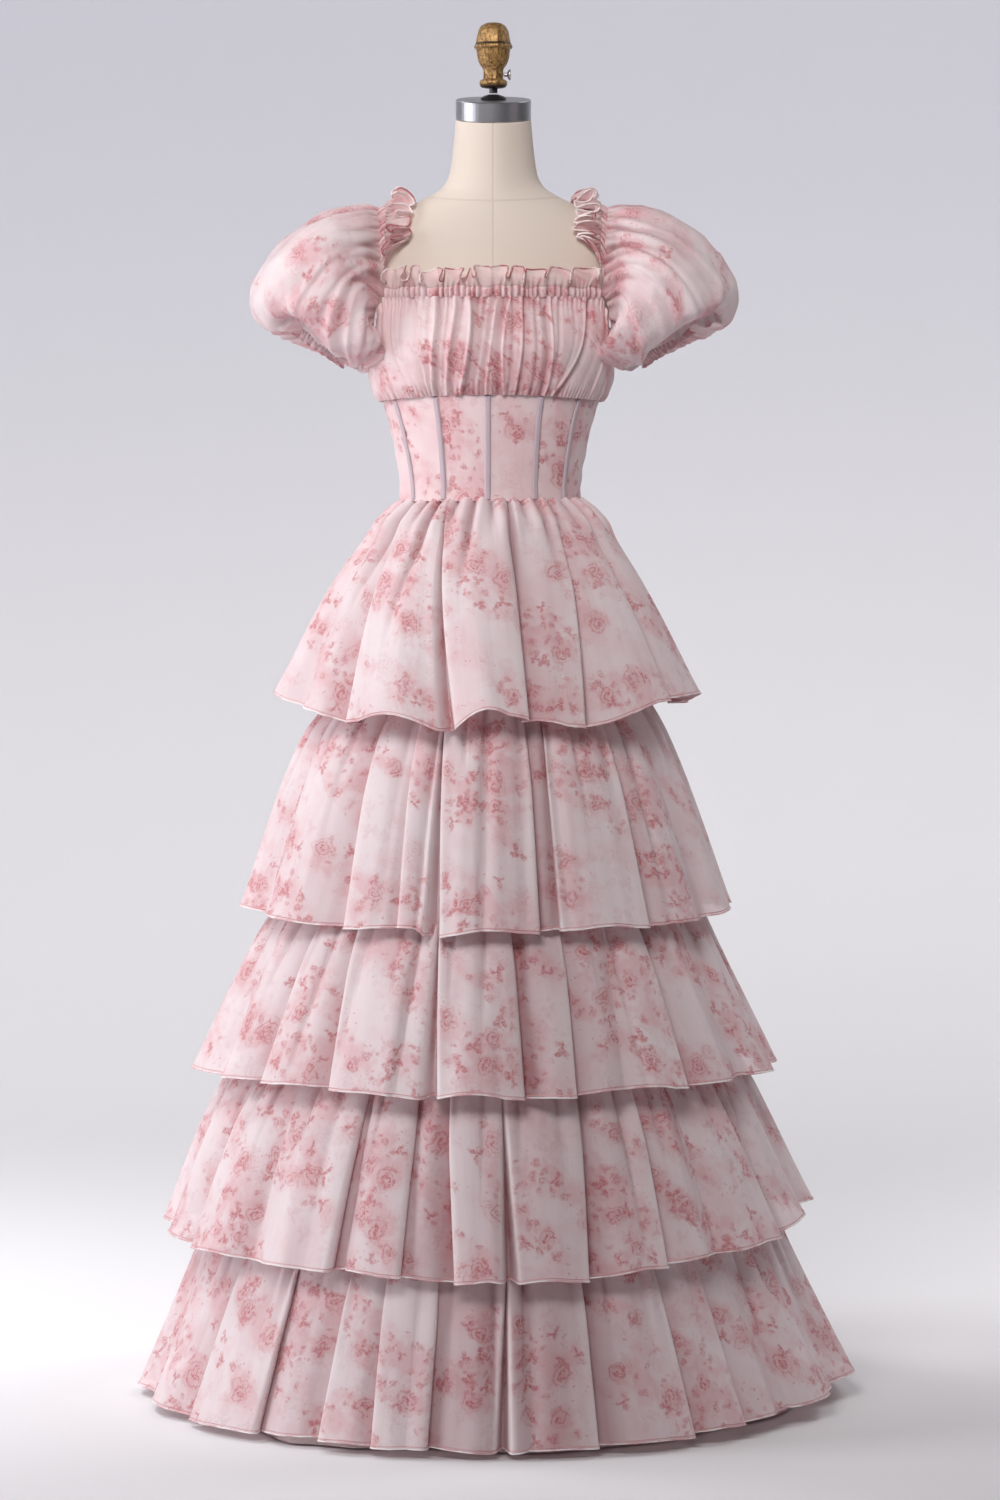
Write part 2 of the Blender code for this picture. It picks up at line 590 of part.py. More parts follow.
def ring_point(row, psi, sgn):
    """A point of a sleeve ring; hug brings its lower front in over the side
    of the bust."""
    ox, oz, ix, iz, front, back, hug = row
    c, s = cos(radians(psi)), sin(radians(psi))
    y = -(front if s > 0 else back) * abs(s) ** 0.9 * (1 if s > 0 else -1)
    inward = hug * 2.0 * max(0.0, s) * max(0.0, -c)
    return Vector((sgn * (0.5 * (ox + ix) + 0.5 * (ox - ix) * c - inward), y,
                   0.5 * (oz + iz) + 0.5 * (oz - iz) * c))


# ==================================================================== build
clear_scene()
scene = bpy.context.scene
dress = bpy.data.collections.new("prom_dress_on_form")
scene.collection.children.link(dress)

organza = (0.80, 0.56, 0.57)
M_TIER = material("tier_organza", organza, 0.62)
M_SLEEVE = material("sleeve_organza", (0.82, 0.60, 0.61), 0.62)
M_BODICE = material("bodice_organza", (0.80, 0.55, 0.56), 0.60)
M_CORSET = material("corset_cloth", (0.79, 0.52, 0.54), 0.58)
M_LINING = material("lining_cloth", (0.72, 0.60, 0.55), 0.65)
M_BONE = material("boning_channel", (0.52, 0.49, 0.57), 0.45)
M_LINEN = material("form_linen", (0.80, 0.72, 0.62), 0.85)
M_STEEL = material("brushed_cap", (0.62, 0.62, 0.64), 0.28, 1.0)
M_BRASS = material("antique_brass", (0.46, 0.30, 0.13), 0.42, 0.8)
M_BLACK = material("black_iron", (0.03, 0.03, 0.035), 0.45, 0.6)
M_ZIP = material("zip_tape", (0.74, 0.52, 0.54), 0.6)
M_ZIPMETAL = material("zip_metal", (0.70, 0.55, 0.55), 0.35, 0.6)

# ---- skirt tiers
LEVEL_T = {1: (0.0, 0.10, 0.42, 1.0), 2: (0.0, 0.25, 1.0), 3: (0.0, 0.34, 1.0),
           4: (0.0, 0.36, 1.0), 5: (0.0, 0.36, 1.0)}
for tier in (1, 2, 3, 4, 5):
    rows = []
    n = len(FOLDS[tier])
    for t in LEVEL_T[tier]:
        row = []
        for face in range(n):
            after = FOLDS[tier][(face + 1) % n]
            here = FOLDS[tier][face]
            span = (after[1] - here[1]) % 360.0
            if span < 11.0 or here[2] == "S" and after[2] == "S":
                samples = (0.0, 0.17, 0.5, 0.84)
            elif here[2] == "S":
                samples = (0.0, 0.3, 0.64, 0.87)
            elif after[2] == "S":
                samples = (0.0, 0.13, 0.38, 0.72)
            else:
                samples = (0.0, 0.13, 0.36, 0.66, 0.88)
            for s in samples:
                row.append(tier_point(tier, face, s, t))
        rows.append(row)
    cloth("tier_%d" % tier, rows, M_TIER, dress, CLOTH, around=True)

# ---- skirt lining
rows = [[lining_point(360.0 * j / 33, t) for j in range(33)] for t in (0.0, 0.10, 0.55, 1.0)]
cloth("skirt_lining", rows, M_LINING, dress, CLOTH, around=True)


# ---- corset panels and the boning channels over their seams
def edge_deg(top, bottom, z):
    f = (z - WAIST_Z) / (UNDERBUST_FRONT_Z - WAIST_Z)
    return bottom + (top - bottom) * f


def gap_deg(gap, z):
    return math.degrees(gap / 0.5 / (hermite(BODICE, z, 1) + hermite(BODICE, z, 2)))


for name, lt, lb, rt, rb in PANELS:
    across = max(3, int(round((rt - lt) / 9.5)))
    rows = []
    for k in range(4):
        row = []
        for j in range(across + 1):
            f = j / across
            zmid = WAIST_Z + (UNDERBUST_SIDE_Z - WAIST_Z) * k / 3
            g = gap_deg(SEAM / 2, zmid)
            left = edge_deg(lt, lb, zmid) + g
            right = edge_deg(rt, rb, zmid) - g
            deg = left + (right - left) * f
            top = underbust_z(deg) - SEAM
            z = WAIST_Z + SEAM + (top - WAIST_Z - SEAM) * k / 3
            row.append(body_point(deg, z, 0.0))
        rows.append(row)
    cloth(name, rows, M_CORSET, dress, BODICE_CLOTH, flip=True)

for name, top, bottom in BONES:
    rows = []
    for k in range(4):
        f = k / 3
        deg0 = bottom + (top - bottom) * f
        ztop = underbust_z(deg0) - 0.0022
        zlow = WAIST_Z + 0.0030
        z = zlow + (ztop - zlow) * f
        w = gap_deg(BONE_WIDTH / 2, z)
        row = []
        for e, lift in ((-1.0, 0.0), (0.0, 0.0006), (1.0, 0.0)):
            row.append(body_point(deg0 + w * e, z, 0.0005 + BONE_THICK * 0.7 + lift))
        rows.append(row)
    cloth(name, rows, M_BONE, dress, BONE_THICK * 0.6, flip=True)


# ---- gathered bust panels
def bust_panel(name, d0, d1, across):
    rows = []
    for k in range(4):
        row = []
        for j in range(across + 1):
            deg = d0 + (d1 - d0) * j / across
            low = underbust_z(deg) + SEAM
            top = neck_edge_z(deg) - SEAM
            f = (0.0, 0.22, 0.70, 1.0)[k]
            z = low + (top - low) * f
            puff = 0.0035 * sin(pi * min(1.0, f * 1.15)) ** 0.6
            ripple = 0.0016 * (j % 2) * sin(pi * (0.1 + 0.8 * f))
            row.append(body_point(deg, z, 0.0018 + puff + ripple))
        rows.append(row)
    cloth(name, rows, M_BODICE, dress, BODICE_CLOTH, flip=True)


g90 = 0.15
bust_panel("bust_front", -90.0 + g90, 90.0 - g90, 24)
bust_panel("bust_back_l", 90.0 + g90, 180.0 - g90, 11)
bust_panel("bust_back_r", 180.0 + g90, 270.0 - g90, 11)


# ---- neck frill: casing and heading, four lengths round the neckline
def frill(name, u0, u1, waves, height):
    steps = waves * 2
    rows = [[], [], []]
    for j in range(steps + 1):
        u = u0 + (u1 - u0) * j / steps
        p, out, up = neck_path(min(max(u, int(u0 + 0.5)), int(u0 + 0.5) + 0.99999))
        side = out.cross(up).normalized()
        wob = 1.0 if j % 2 else -1.0
        sway = 0.0
        rows[0].append(p + out * 0.0036 + up * 0.0010)
        rows[1].append(p + out * (0.0040 + 0.0006 * wob) + up * CASING_WIDTH)
        rows[2].append(p + out * (0.0075 + 0.0050 * wob) + side * 0.0016 * sway
                       + up * (CASING_WIDTH + height * (0.92 + 0.08 * sin(j * 1.7))))
    cloth(name, rows, M_SLEEVE, dress, CLOTH, flip=True)


frill("neck_frill_front", 0.025, 0.975, 10, FRILL_HEIGHT)
frill("neck_frill_l", 1.04, 1.95, 8, FRILL_HEIGHT)
frill("neck_frill_back", 2.035, 2.965, 9, FRILL_HEIGHT)
frill("neck_frill_r", 3.05, 3.96, 8, FRILL_HEIGHT)

# ---- puff sleeves and their elastic cuffs
for tag, sgn in (("l", 1.0), ("r", -1.0)):
    ring = [360.0 * j / 22 for j in range(22)]
    rows = [[sleeve_seam(p, sgn) for p in ring]]
    for row in SLEEVE:
        rows.append([ring_point(row, p, sgn) for p in ring])
    rows.append([ring_point(CUFF_RING, p, sgn) for p in ring])
    cloth("sleeve_" + tag, rows, M_SLEEVE, dress, CLOTH, around=True, flip=sgn > 0)
    cuff = []
    for k, (down, grow) in enumerate(((0.0016, 0.0), (CUFF_CASING, 0.0005), (CUFF_CASING + CUFF_FRILL, 0.004))):
        row = []
        for j in range(22):
            psi = 360.0 * j / 22
            p = ring_point(CUFF_RING, psi, sgn)
            c = Vector((sgn * 0.5 * (CUFF_RING[0] + CUFF_RING[2]), 0, 0.5 * (CUFF_RING[1] + CUFF_RING[3])))
            away = (p - c).normalized()
            wave = (1 if j % 2 else -1) * (0.0, 0.0006, 0.0022)[k]
            row.append(p + away * (grow + wave) + Vector((sgn * CUFF_DROP[0], 0, CUFF_DROP[1])) * down)
        cuff.append(row)
    cloth("cuff_" + tag, cuff, M_SLEEVE, dress, CLOTH, around=True, flip=sgn > 0)

# ---- centre back zip: tape, slider and pull tab
ZIP_LINE = (
    # z,     off_body: flat on the corset, then up over the gathered bust
    (1.1000, 0.0010),
    (1.1300, 0.0010),
    (1.1600, 0.0010),
    (1.1850, 0.0010),
    (1.2030, 0.0012),
    (1.2125, 0.0048),
    (1.2440, 0.0090),
    (1.2650, 0.0104),
    (1.3020, 0.0104),
    (1.3380, 0.0104),
)
rows = []
for z, off_body in ZIP_LINE:
    row = []
    for off in (-0.0035, 0.0035):
        deg = 180.0 - math.degrees(off / hermite(BODICE, z, 1))
        row.append(body_point(deg, z, off_body))
    rows.append(row)
cloth("back_zip", rows, M_ZIP, dress, 0.0012, flip=True)

zip_y = body_point(180.0, 1.3340, 0.0104).y + 0.0006
SLIDER_Z = 1.3280
bpy.ops.mesh.primitive_cube_add(size=1.0, location=(0, 0, 0))
sl = bpy.context.active_object
sl.name = "zip_slider"
sl.data.name = "zip_slider"
sl.data.transform(Matrix.Translation((-0.001, zip_y + 0.0023, SLIDER_Z)) @ Matrix.Diagonal((0.0080, 0.0030, 0.0105, 1)))
sl.data.materials.append(M_ZIPMETAL)
for c in list(sl.users_collection):
    c.objects.unlink(sl)
dress.objects.link(sl)
bev = sl.modifiers.new("soft", 'BEVEL')
bev.width = 0.0008
bev.segments = 2

PULL_AXIS = (-0.001, zip_y + 0.0051, SLIDER_Z - 0.001)
bpy.ops.mesh.primitive_cube_add(size=1.0, location=(0, 0, 0))
pt = bpy.context.active_object
pt.name = "zip_pull"
pt.data.name = "zip_pull"
pt.data.transform(Matrix.Translation((0, 0, -0.0085)) @ Matrix.Diagonal((0.0050, 0.0014, 0.0180, 1)))
pt.location = PULL_AXIS
pt.data.materials.append(M_ZIPMETAL)
for c in list(pt.users_collection):
    c.objects.unlink(pt)
dress.objects.link(pt)
bev = pt.modifiers.new("soft", 'BEVEL')
bev.width = 0.0005
bev.segments = 2

# ---- dress form: torso with neck
rings = []
for z, w, f, b, cy, tilt in TORSO:
    ring = []
    for j in range(48):
        a = 2 * pi * j / 48
        x = w * sin(a)
        y = -(f if cos(a) > 0 else b) * cos(a)
        bump = 0.006 * math.exp(-((abs(wrap(math.degrees(a))) - 27) / 18) ** 2 - ((z - 1.272) / 0.04) ** 2)
        x += bump * sin(a)
        y -= bump * cos(a)
        ring.append((x, y + cy, z + y * math.tan(radians(tilt))))
    rings.append(ring)
loft("form_torso", rings, M_LINEN, dress)

# ---- neck cap, rod, washer, finial
cap = turned("form_cap", [(0.0, 0.0), (CAP_RADIUS - 0.0006, 0.0), (CAP_RADIUS, 0.0006), (CAP_RADIUS, CAP_HEIGHT - 0.0010),
                          (CAP_RADIUS - 0.0010, CAP_HEIGHT), (0.0, CAP_HEIGHT)], M_STEEL, dress, 64)
cap.location = (0, 0, CAP_Z)
cap.rotation_euler = (radians(CAP_TILT_DEG), 0, 0)
rod_low = CAP_Z + CAP_HEIGHT
washer = turned("neck_washer", [(0.0, 0.0006), (0.0150, 0.0006), (0.0162, 0.0016), (0.0120, 0.0042), (0.0062, 0.0060), (0.0, 0.0060)], M_BLACK, dress, 32)
AXIS_Y = -CAP_HEIGHT * sin(radians(CAP_TILT_DEG))
washer.location = (0, AXIS_Y, CAP_Z + CAP_HEIGHT * cos(radians(CAP_TILT_DEG)))
washer.rotation_euler = (radians(CAP_TILT_DEG), 0, 0)
turned("finial", FINIAL, M_BRASS, dress, 40).location = (0, AXIS_Y, 0)
turned("neck_rod", [(0.0, 1.5846), (NECK_ROD_RADIUS, 1.5846), (NECK_ROD_RADIUS, 1.5902), (0.0, 1.5902)], M_BLACK, dress, 24).location = (0, AXIS_Y, 0)

# ---- thumb screw in the finial's neck, turning about X
prof = [(0.0, 0.0), (0.0022, 0.0), (0.0022, 0.0046), (0.0050, 0.0052), (0.0062, 0.0066), (0.0062, 0.0078), (0.0048, 0.0090), (0.0, 0.0090)]
scr = turned("thumb_screw", prof, M_STEEL, dress, 24)
scr.rotation_euler = (0, radians(90), 0)
scr.location = (0.0123, AXIS_Y, SCREW_Z)

# ---- stand: post and round base
turned("stand_post", [(0.0, BASE_THICK + 0.0003), (0.0300, BASE_THICK + 0.0003), (0.0300, BASE_THICK + 0.012),
                      (POST_RADIUS + 0.003, BASE_THICK + 0.030), (POST_RADIUS, BASE_THICK + 0.032),
                      (POST_RADIUS, 0.8396), (0.0, 0.8396)], M_BLACK, dress, 32)
turned("stand_base", [(0.0, 0.0), (BASE_RADIUS - 0.004, 0.0), (BASE_RADIUS, 0.004), (BASE_RADIUS, BASE_THICK - 0.003),
                      (BASE_RADIUS - 0.005, BASE_THICK), (0.0, BASE_THICK)], M_BLACK, dress, 64)
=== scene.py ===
"""Off-shoulder tiered prom dress standing on a limbless dress form: its looks.

Row frame in metres, +Z up, the front faces -Y, +X is the wearer's left.
Angles round the body are in degrees from the centre front, positive to +X.
"""
import bpy
import math
import random
import numpy as np
from math import radians, degrees, sin, cos, pi, sqrt, exp
from mathutils import Vector, Matrix
from mathutils.bvhtree import BVHTree


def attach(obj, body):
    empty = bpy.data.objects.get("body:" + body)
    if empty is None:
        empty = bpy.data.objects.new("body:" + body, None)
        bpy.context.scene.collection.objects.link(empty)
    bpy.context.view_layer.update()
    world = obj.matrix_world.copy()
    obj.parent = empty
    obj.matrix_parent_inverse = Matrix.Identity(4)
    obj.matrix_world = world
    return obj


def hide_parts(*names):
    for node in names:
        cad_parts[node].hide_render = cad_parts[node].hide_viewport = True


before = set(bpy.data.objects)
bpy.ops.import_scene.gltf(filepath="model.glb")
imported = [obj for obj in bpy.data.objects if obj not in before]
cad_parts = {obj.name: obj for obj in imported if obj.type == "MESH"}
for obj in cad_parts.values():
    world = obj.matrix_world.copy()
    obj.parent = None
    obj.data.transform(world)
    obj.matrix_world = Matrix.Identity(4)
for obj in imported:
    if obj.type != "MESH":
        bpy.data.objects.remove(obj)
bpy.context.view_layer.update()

BODY = "dress_on_form"

# ---------------------------------------------------------------- sizes (m)
CLOTH = 0.0012            # skirt, sleeve and frill cloth
BODICE_CLOTH = 0.0016     # backed corset cloth
BONE_WIDTH = 0.0080       # boning channel
BONE_THICK = 0.0014
SEAM = 0.0004             # gap between pieces at a seam
WAIST_Z = 1.0905
UNDERBUST_FRONT_Z = 1.2185
UNDERBUST_SIDE_Z = 1.2125
NECK_FRONT_Z = 1.3360
NECK_BACK_Z = 1.3560
UNDERARM_Z = 1.2620
NECK_CORNER_DEG = 60.0
NECK_CORNER_BACK_DEG = 122.0
SHOULDER_X = 0.1370
SHOULDER_Z = 1.4430
CASING_WIDTH = 0.0110     # elastic casing under the neck frill
FRILL_HEIGHT = 0.0230
CUFF_CASING = 0.0080
CUFF_FRILL = 0.0090

POST_RADIUS = 0.0140
BASE_RADIUS = 0.2000
BASE_THICK = 0.0120
CAP_RADIUS = 0.0458
CAP_HEIGHT = 0.0235
CAP_TILT_DEG = 10.0       # the neck top leans towards the front
CAP_Z = 1.5535            # centre of the cap's lower edge
NECK_ROD_RADIUS = 0.0050

# ------------------------------------------------- bodice: one row a level
BODICE = (
    # z,      half_width, front,  back,   centre_x
    (1.0700, 0.1125, 0.0880, 0.0820, -0.0040),
    (1.0905, 0.1105, 0.0860, 0.0800, -0.0040),
    (1.1050, 0.1100, 0.0856, 0.0800, -0.0040),
    (1.1200, 0.1112, 0.0870, 0.0812, -0.0038),
    (1.1500, 0.1160, 0.0915, 0.0842, -0.0036),
    (1.1800, 0.1222, 0.0970, 0.0885, -0.0034),
    (1.2150, 0.1325, 0.1040, 0.0935, -0.0030),
    (1.2400, 0.1400, 0.1110, 0.0985, -0.0025),
    (1.2750, 0.1455, 0.1170, 0.1030, -0.0020),
    (1.3100, 0.1475, 0.1115, 0.1060, -0.0015),
    (1.3400, 0.1500, 0.1030, 0.1075, -0.0010),
    (1.3750, 0.1500, 0.0980, 0.1060, -0.0010),
)
BUST_APEX_DEG = 27.0
BUST_APEX_Z = 1.2720
BUST_FULL = 0.0070

# ------------------------------------------------ skirt lining: one row a level
LINING = (
    # z,      half_width, front,  fold
    (1.0865, 0.1066, 0.0784, 0.000),
    (1.0600, 0.1140, 0.0880, 0.001),
    (0.8700, 0.1650, 0.1440, 0.003),
    (0.6300, 0.2290, 0.2130, 0.006),
    (0.4400, 0.2760, 0.2610, 0.008),
    (0.2450, 0.3200, 0.3060, 0.010),
    (0.1500, 0.3400, 0.3270, 0.011),
    (0.0050, 0.3860, 0.3760, 0.014),
)
LINING_FOLDS = 11

# ------------------------------------------------ tiers: one row a level
# left/right/front/back are the half sizes of the fold crests, fold is how
# far the fold valleys lie inside them
TIER_LEVELS = {
    1: (
        # z,      left,   right,  front,  back,   fold
        (1.0900, 0.1118, 0.1100, 0.0870, 0.0815, 0.0000),
        (1.0640, 0.1390, 0.1340, 0.1130, 0.1060, 0.0060),
        (0.9900, 0.1930, 0.1810, 0.1640, 0.1560, 0.0150),
        (0.8360, 0.2640, 0.2480, 0.2350, 0.2280, 0.0260),
    ),
    2: (
        (0.8730, 0.1790, 0.1760, 0.1560, 0.1530, 0.0030),
        (0.8050, 0.2330, 0.2130, 0.2060, 0.1990, 0.0130),
        (0.5920, 0.3030, 0.2850, 0.2760, 0.2700, 0.0250),
    ),
    3: (
        (0.6330, 0.2440, 0.2390, 0.2260, 0.2220, 0.0030),
        (0.5600, 0.2900, 0.2710, 0.2680, 0.2600, 0.0140),
        (0.4080, 0.3600, 0.3410, 0.3350, 0.3270, 0.0250),
    ),
    4: (
        (0.4430, 0.2920, 0.2880, 0.2760, 0.2720, 0.0030),
        (0.3600, 0.3420, 0.3260, 0.3220, 0.3120, 0.0130),
        (0.2030, 0.3980, 0.3840, 0.3790, 0.3690, 0.0240),
    ),
    5: (
        (0.2480, 0.3380, 0.3360, 0.3240, 0.3180, 0.0020),
        (0.1650, 0.3680, 0.3690, 0.3590, 0.3480, 0.0120),
        (0.0135, 0.4270, 0.4330, 0.4200, 0.4080, 0.0210),
    ),
}

# Folds: one row a fold.  waist_deg and hem_deg place the valley at the
# tier's seam and at its hem.  lap: L the face before the valley laps over
# the next, R the face after it laps back, O open box valley, S soft.
# deep scales the tier's fold size, out_mm moves the face after the valley,
# drop_mm lowers the hem at the valley, arch_mm lifts it on that face.
FOLDS = {
    1: (
        # waist, hem,  lap, deep, out_mm, drop_mm, arch_mm
        (-75.0, -66.0, "S", 0.60, 0.0, -8.0, 6.0),
        (-50.0, -41.0, "R", 0.85, 3.0, 10.0, 19.0),
        (-28.0, -12.0, "O", 1.15, 3.0, 17.0, 24.0),
        (5.0, 8.0, "L", 0.90, -7.0, 6.0, 6.0),
        (34.0, 24.0, "L", 0.90, 2.0, 13.0, 3.0),
        (54.0, 55.0, "L", 0.60, 1.0, -18.0, 4.0),
        (88.0, 82.0, "S", 0.60, 0.0, -20.0, 6.0),
        (112.0, 108.0, "R", 0.85, 2.0, -4.0, 16.0),
        (135.0, 132.0, "S", 0.60, 0.0, 4.0, 12.0),
        (158.0, 156.0, "L", 0.95, 2.0, 14.0, 18.0),
        (181.0, 182.0, "S", 0.70, 1.0, 6.0, 14.0),
        (204.0, 206.0, "R", 0.95, 0.0, 13.0, 18.0),
        (226.0, 228.0, "S", 0.60, 2.0, 2.0, 12.0),
        (247.0, 251.0, "L", 0.85, 0.0, -6.0, 10.0),
        (268.0, 272.0, "S", 0.60, 0.0, -20.0, 8.0),
    ),
    2: (
        (-68.0, -71.0, "S", 0.45, 0.0, -4.0, 2.0),
        (-38.0, -35.0, "R", 0.90, 2.0, 3.0, 2.0),
        (-24.0, -21.0, "R", 0.45, 1.0, -1.0, 5.0),
        (-17.0, -14.0, "O", 1.15, 2.0, 10.0, 8.0),
        (9.0, 9.5, "L", 0.80, -9.0, 5.0, 2.0),
        (17.5, 17.0, "R", 0.55, 1.0, 2.0, 6.0),
        (38.0, 38.0, "L", 0.85, 0.0, 3.0, 3.0),
        (58.0, 64.0, "S", 0.50, 1.0, 0.0, 3.0),
        (84.0, 86.0, "S", 0.55, 0.0, -6.0, 4.0),
        (108.0, 109.0, "L", 0.85, 1.0, 2.0, 6.0),
        (132.0, 130.0, "S", 0.60, 0.0, -2.0, 6.0),
        (155.0, 157.0, "R", 0.95, 2.0, 6.0, 7.0),
        (180.0, 179.0, "S", 0.60, 0.0, 0.0, 6.0),
        (203.0, 205.0, "L", 0.90, 1.0, 7.0, 7.0),
        (226.0, 226.0, "S", 0.55, 0.0, -2.0, 5.0),
        (248.0, 247.0, "R", 0.85, 1.0, 3.0, 6.0),
        (270.0, 268.0, "S", 0.50, 0.0, -6.0, 4.0),
    ),
    3: (
        (-69.0, -69.0, "S", 0.45, 0.0, 6.0, 3.0),
        (-50.0, -49.0, "R", 0.85, 1.0, 2.0, 4.0),
        (-37.0, -32.0, "R", 0.85, 2.0, 2.0, 3.0),
        (-15.0, -12.0, "O", 1.10, 1.0, 7.0, 9.0),
        (3.0, 5.0, "L", 0.95, 0.0, 8.0, 3.0),
        (17.0, 15.0, "L", 0.65, -3.0, 6.0, 4.0),
        (31.0, 27.0, "S", 0.45, 1.0, 0.0, 5.0),
        (41.0, 40.0, "L", 0.90, 0.0, 4.0, 3.0),
        (60.0, 61.0, "S", 0.50, 0.0, 2.0, 3.0),
        (86.0, 85.0, "S", 0.55, 1.0, 8.0, 4.0),
        (109.0, 111.0, "R", 0.90, 1.0, 8.0, 6.0),
        (131.0, 133.0, "S", 0.55, 0.0, 2.0, 6.0),
        (154.0, 153.0, "L", 0.95, 2.0, 7.0, 8.0),
        (176.0, 178.0, "S", 0.60, 0.0, 0.0, 6.0),
        (199.0, 201.0, "R", 0.90, 1.0, 7.0, 6.0),
        (222.0, 223.0, "S", 0.55, 0.0, 2.0, 5.0),
        (246.0, 245.0, "L", 0.85, 0.0, 6.0, 5.0),
        (268.0, 268.0, "S", 0.50, 1.0, 8.0, 4.0),
    ),
    4: (
        (-60.0, -64.0, "R", 0.80, 2.0, 2.0, 6.0),
        (-46.0, -47.0, "S", 0.45, 0.0, 2.0, 3.0),
        (-28.0, -30.0, "L", 0.90, -3.0, 2.0, 4.0),
        (-17.0, -17.0, "L", 0.60, -9.0, 4.0, 1.0),
        (-9.5, -5.5, "R", 0.90, 4.0, 10.0, 6.0),
        (1.5, 3.0, "O", 1.15, 2.0, 8.0, 5.0),
        (18.0, 15.5, "L", 0.80, 0.0, 8.0, 4.0),
        (31.0, 30.5, "L", 0.90, -2.0, -2.0, 4.0),
        (42.0, 44.0, "S", 0.50, 0.0, -8.0, 3.0),
        (54.0, 61.0, "L", 0.70, 0.0, -14.0, 3.0),
        (77.0, 80.0, "S", 0.55, 2.0, -34.0, 6.0),
        (98.0, 100.0, "R", 0.80, 1.0, -20.0, 6.0),
        (120.0, 121.0, "S", 0.55, 0.0, 0.0, 5.0),
        (142.0, 141.0, "L", 0.90, 1.0, 7.0, 6.0),
        (164.0, 165.0, "S", 0.55, 0.0, 2.0, 5.0),
        (187.0, 188.0, "R", 0.90, 1.0, 8.0, 6.0),
        (210.0, 209.0, "S", 0.55, 0.0, 2.0, 5.0),
        (232.0, 231.0, "L", 0.90, 1.0, 7.0, 6.0),
        (254.0, 253.0, "S", 0.50, 0.0, 2.0, 5.0),
        (277.0, 275.0, "S", 0.55, 1.0, -4.0, 5.0),
    ),
    5: (
        (-78.0, -78.0, "S", 0.50, 0.0, 3.0, 3.0),
        (-55.0, -56.0, "R", 0.85, 1.0, 5.0, 2.0),
        (-41.0, -41.0, "L", 0.70, -4.0, 3.0, 2.0),
        (-27.0, -27.0, "R", 0.85, 1.0, 1.0, 3.0),
        (-20.0, -18.0, "R", 0.45, 1.0, 3.0, 1.0),
        (-11.0, -11.0, "L", 0.70, -2.0, 2.0, 1.0),
        (3.0, 1.5, "O", 1.05, -2.0, 6.0, 3.0),
        (16.0, 15.5, "L", 0.80, -2.0, 3.0, 3.0),
        (31.0, 32.0, "L", 0.85, -3.0, 1.0, 4.0),
        (41.0, 42.0, "L", 0.65, -1.0, -4.0, 4.0),
        (52.0, 53.0, "S", 0.55, 0.0, -8.0, 3.0),
        (72.0, 74.0, "S", 0.55, 0.0, -14.0, 5.0),
        (94.0, 95.0, "L", 0.80, 0.0, -12.0, 5.0),
        (116.0, 117.0, "S", 0.55, 0.0, -2.0, 5.0),
        (138.0, 137.0, "R", 0.85, 1.0, 3.0, 5.0),
        (160.0, 161.0, "S", 0.55, 0.0, 1.0, 4.0),
        (183.0, 182.0, "L", 0.90, 1.0, 4.0, 5.0),
        (205.0, 206.0, "S", 0.55, 0.0, 1.0, 4.0),
        (227.0, 228.0, "R", 0.85, 1.0, 3.0, 5.0),
        (247.0, 249.0, "S", 0.55, 0.0, 2.0, 4.0),
        (265.0, 266.0, "S", 0.55, 0.0, 4.0, 3.0),
    ),
}
LAP_MM = 5.0              # how far a lapping fold edge reaches past its valley

# ------------------------------------------------ boning: one row a bone
BONES = (
    # name,        top_deg, bottom_deg
    ("bone_front_r2", -61.0, -57.0),
    ("bone_front_r1", -30.0, -30.5),
    ("bone_front_c", -1.5, -1.5),
    ("bone_front_l1", 27.0, 29.5),
    ("bone_front_l2", 53.0, 54.0),
    ("bone_back_l2", 118.0, 120.0),
    ("bone_back_l1", 150.0, 151.0),
    ("bone_back_r1", 210.0, 209.0),
    ("bone_back_r2", 242.0, 240.0),
)
# corset panels: one row a panel, between two seams
PANELS = (
    # name,             left seam top/bottom,  right seam top/bottom
    ("corset_front_r", -30.0, -30.5, -1.5, -1.5),
    ("corset_front_l", -1.5, -1.5, 27.0, 29.5),
    ("corset_side_front_l", 27.0, 29.5, 53.0, 54.0),
    ("corset_side_l", 53.0, 54.0, 118.0, 120.0),
    ("corset_side_back_l", 118.0, 120.0, 150.0, 151.0),
    ("corset_back_l", 150.0, 151.0, 180.0, 180.0),
    ("corset_back_r", 180.0, 180.0, 210.0, 209.0),
    ("corset_side_back_r", 210.0, 209.0, 242.0, 240.0),
    ("corset_side_r", 242.0, 240.0, 299.0, 303.0),
    ("corset_side_front_r", 299.0, 303.0, 330.0, 329.5),
)

# ------------------------------------------------ sleeve: one row a ring
# the outer and inner ends of the ring in the X-Z plane, its reach to the
# front and back, and how far its lower front comes in over the bust
SLEEVE = (
    # out_x,  out_z,  in_x,   in_z,   front,  back,   hug
    (0.1620, 1.4490, 0.1525, 1.2600, 0.0900, 0.0900, 0.0080),
    (0.2100, 1.4380, 0.1560, 1.2570, 0.1100, 0.1060, 0.0190),
    (0.2620, 1.4010, 0.1590, 1.2540, 0.1110, 0.1070, 0.0220),
    (0.2960, 1.3460, 0.1625, 1.2520, 0.0960, 0.0940, 0.0160),
    (0.2820, 1.3030, 0.1675, 1.2520, 0.0700, 0.0700, 0.0080),
)
CUFF_RING = (0.2330, 1.3050, 0.1760, 1.2660, 0.0420, 0.0440, 0.0)
CUFF_DROP = (0.60, -0.80)    # x, z direction the cuff points

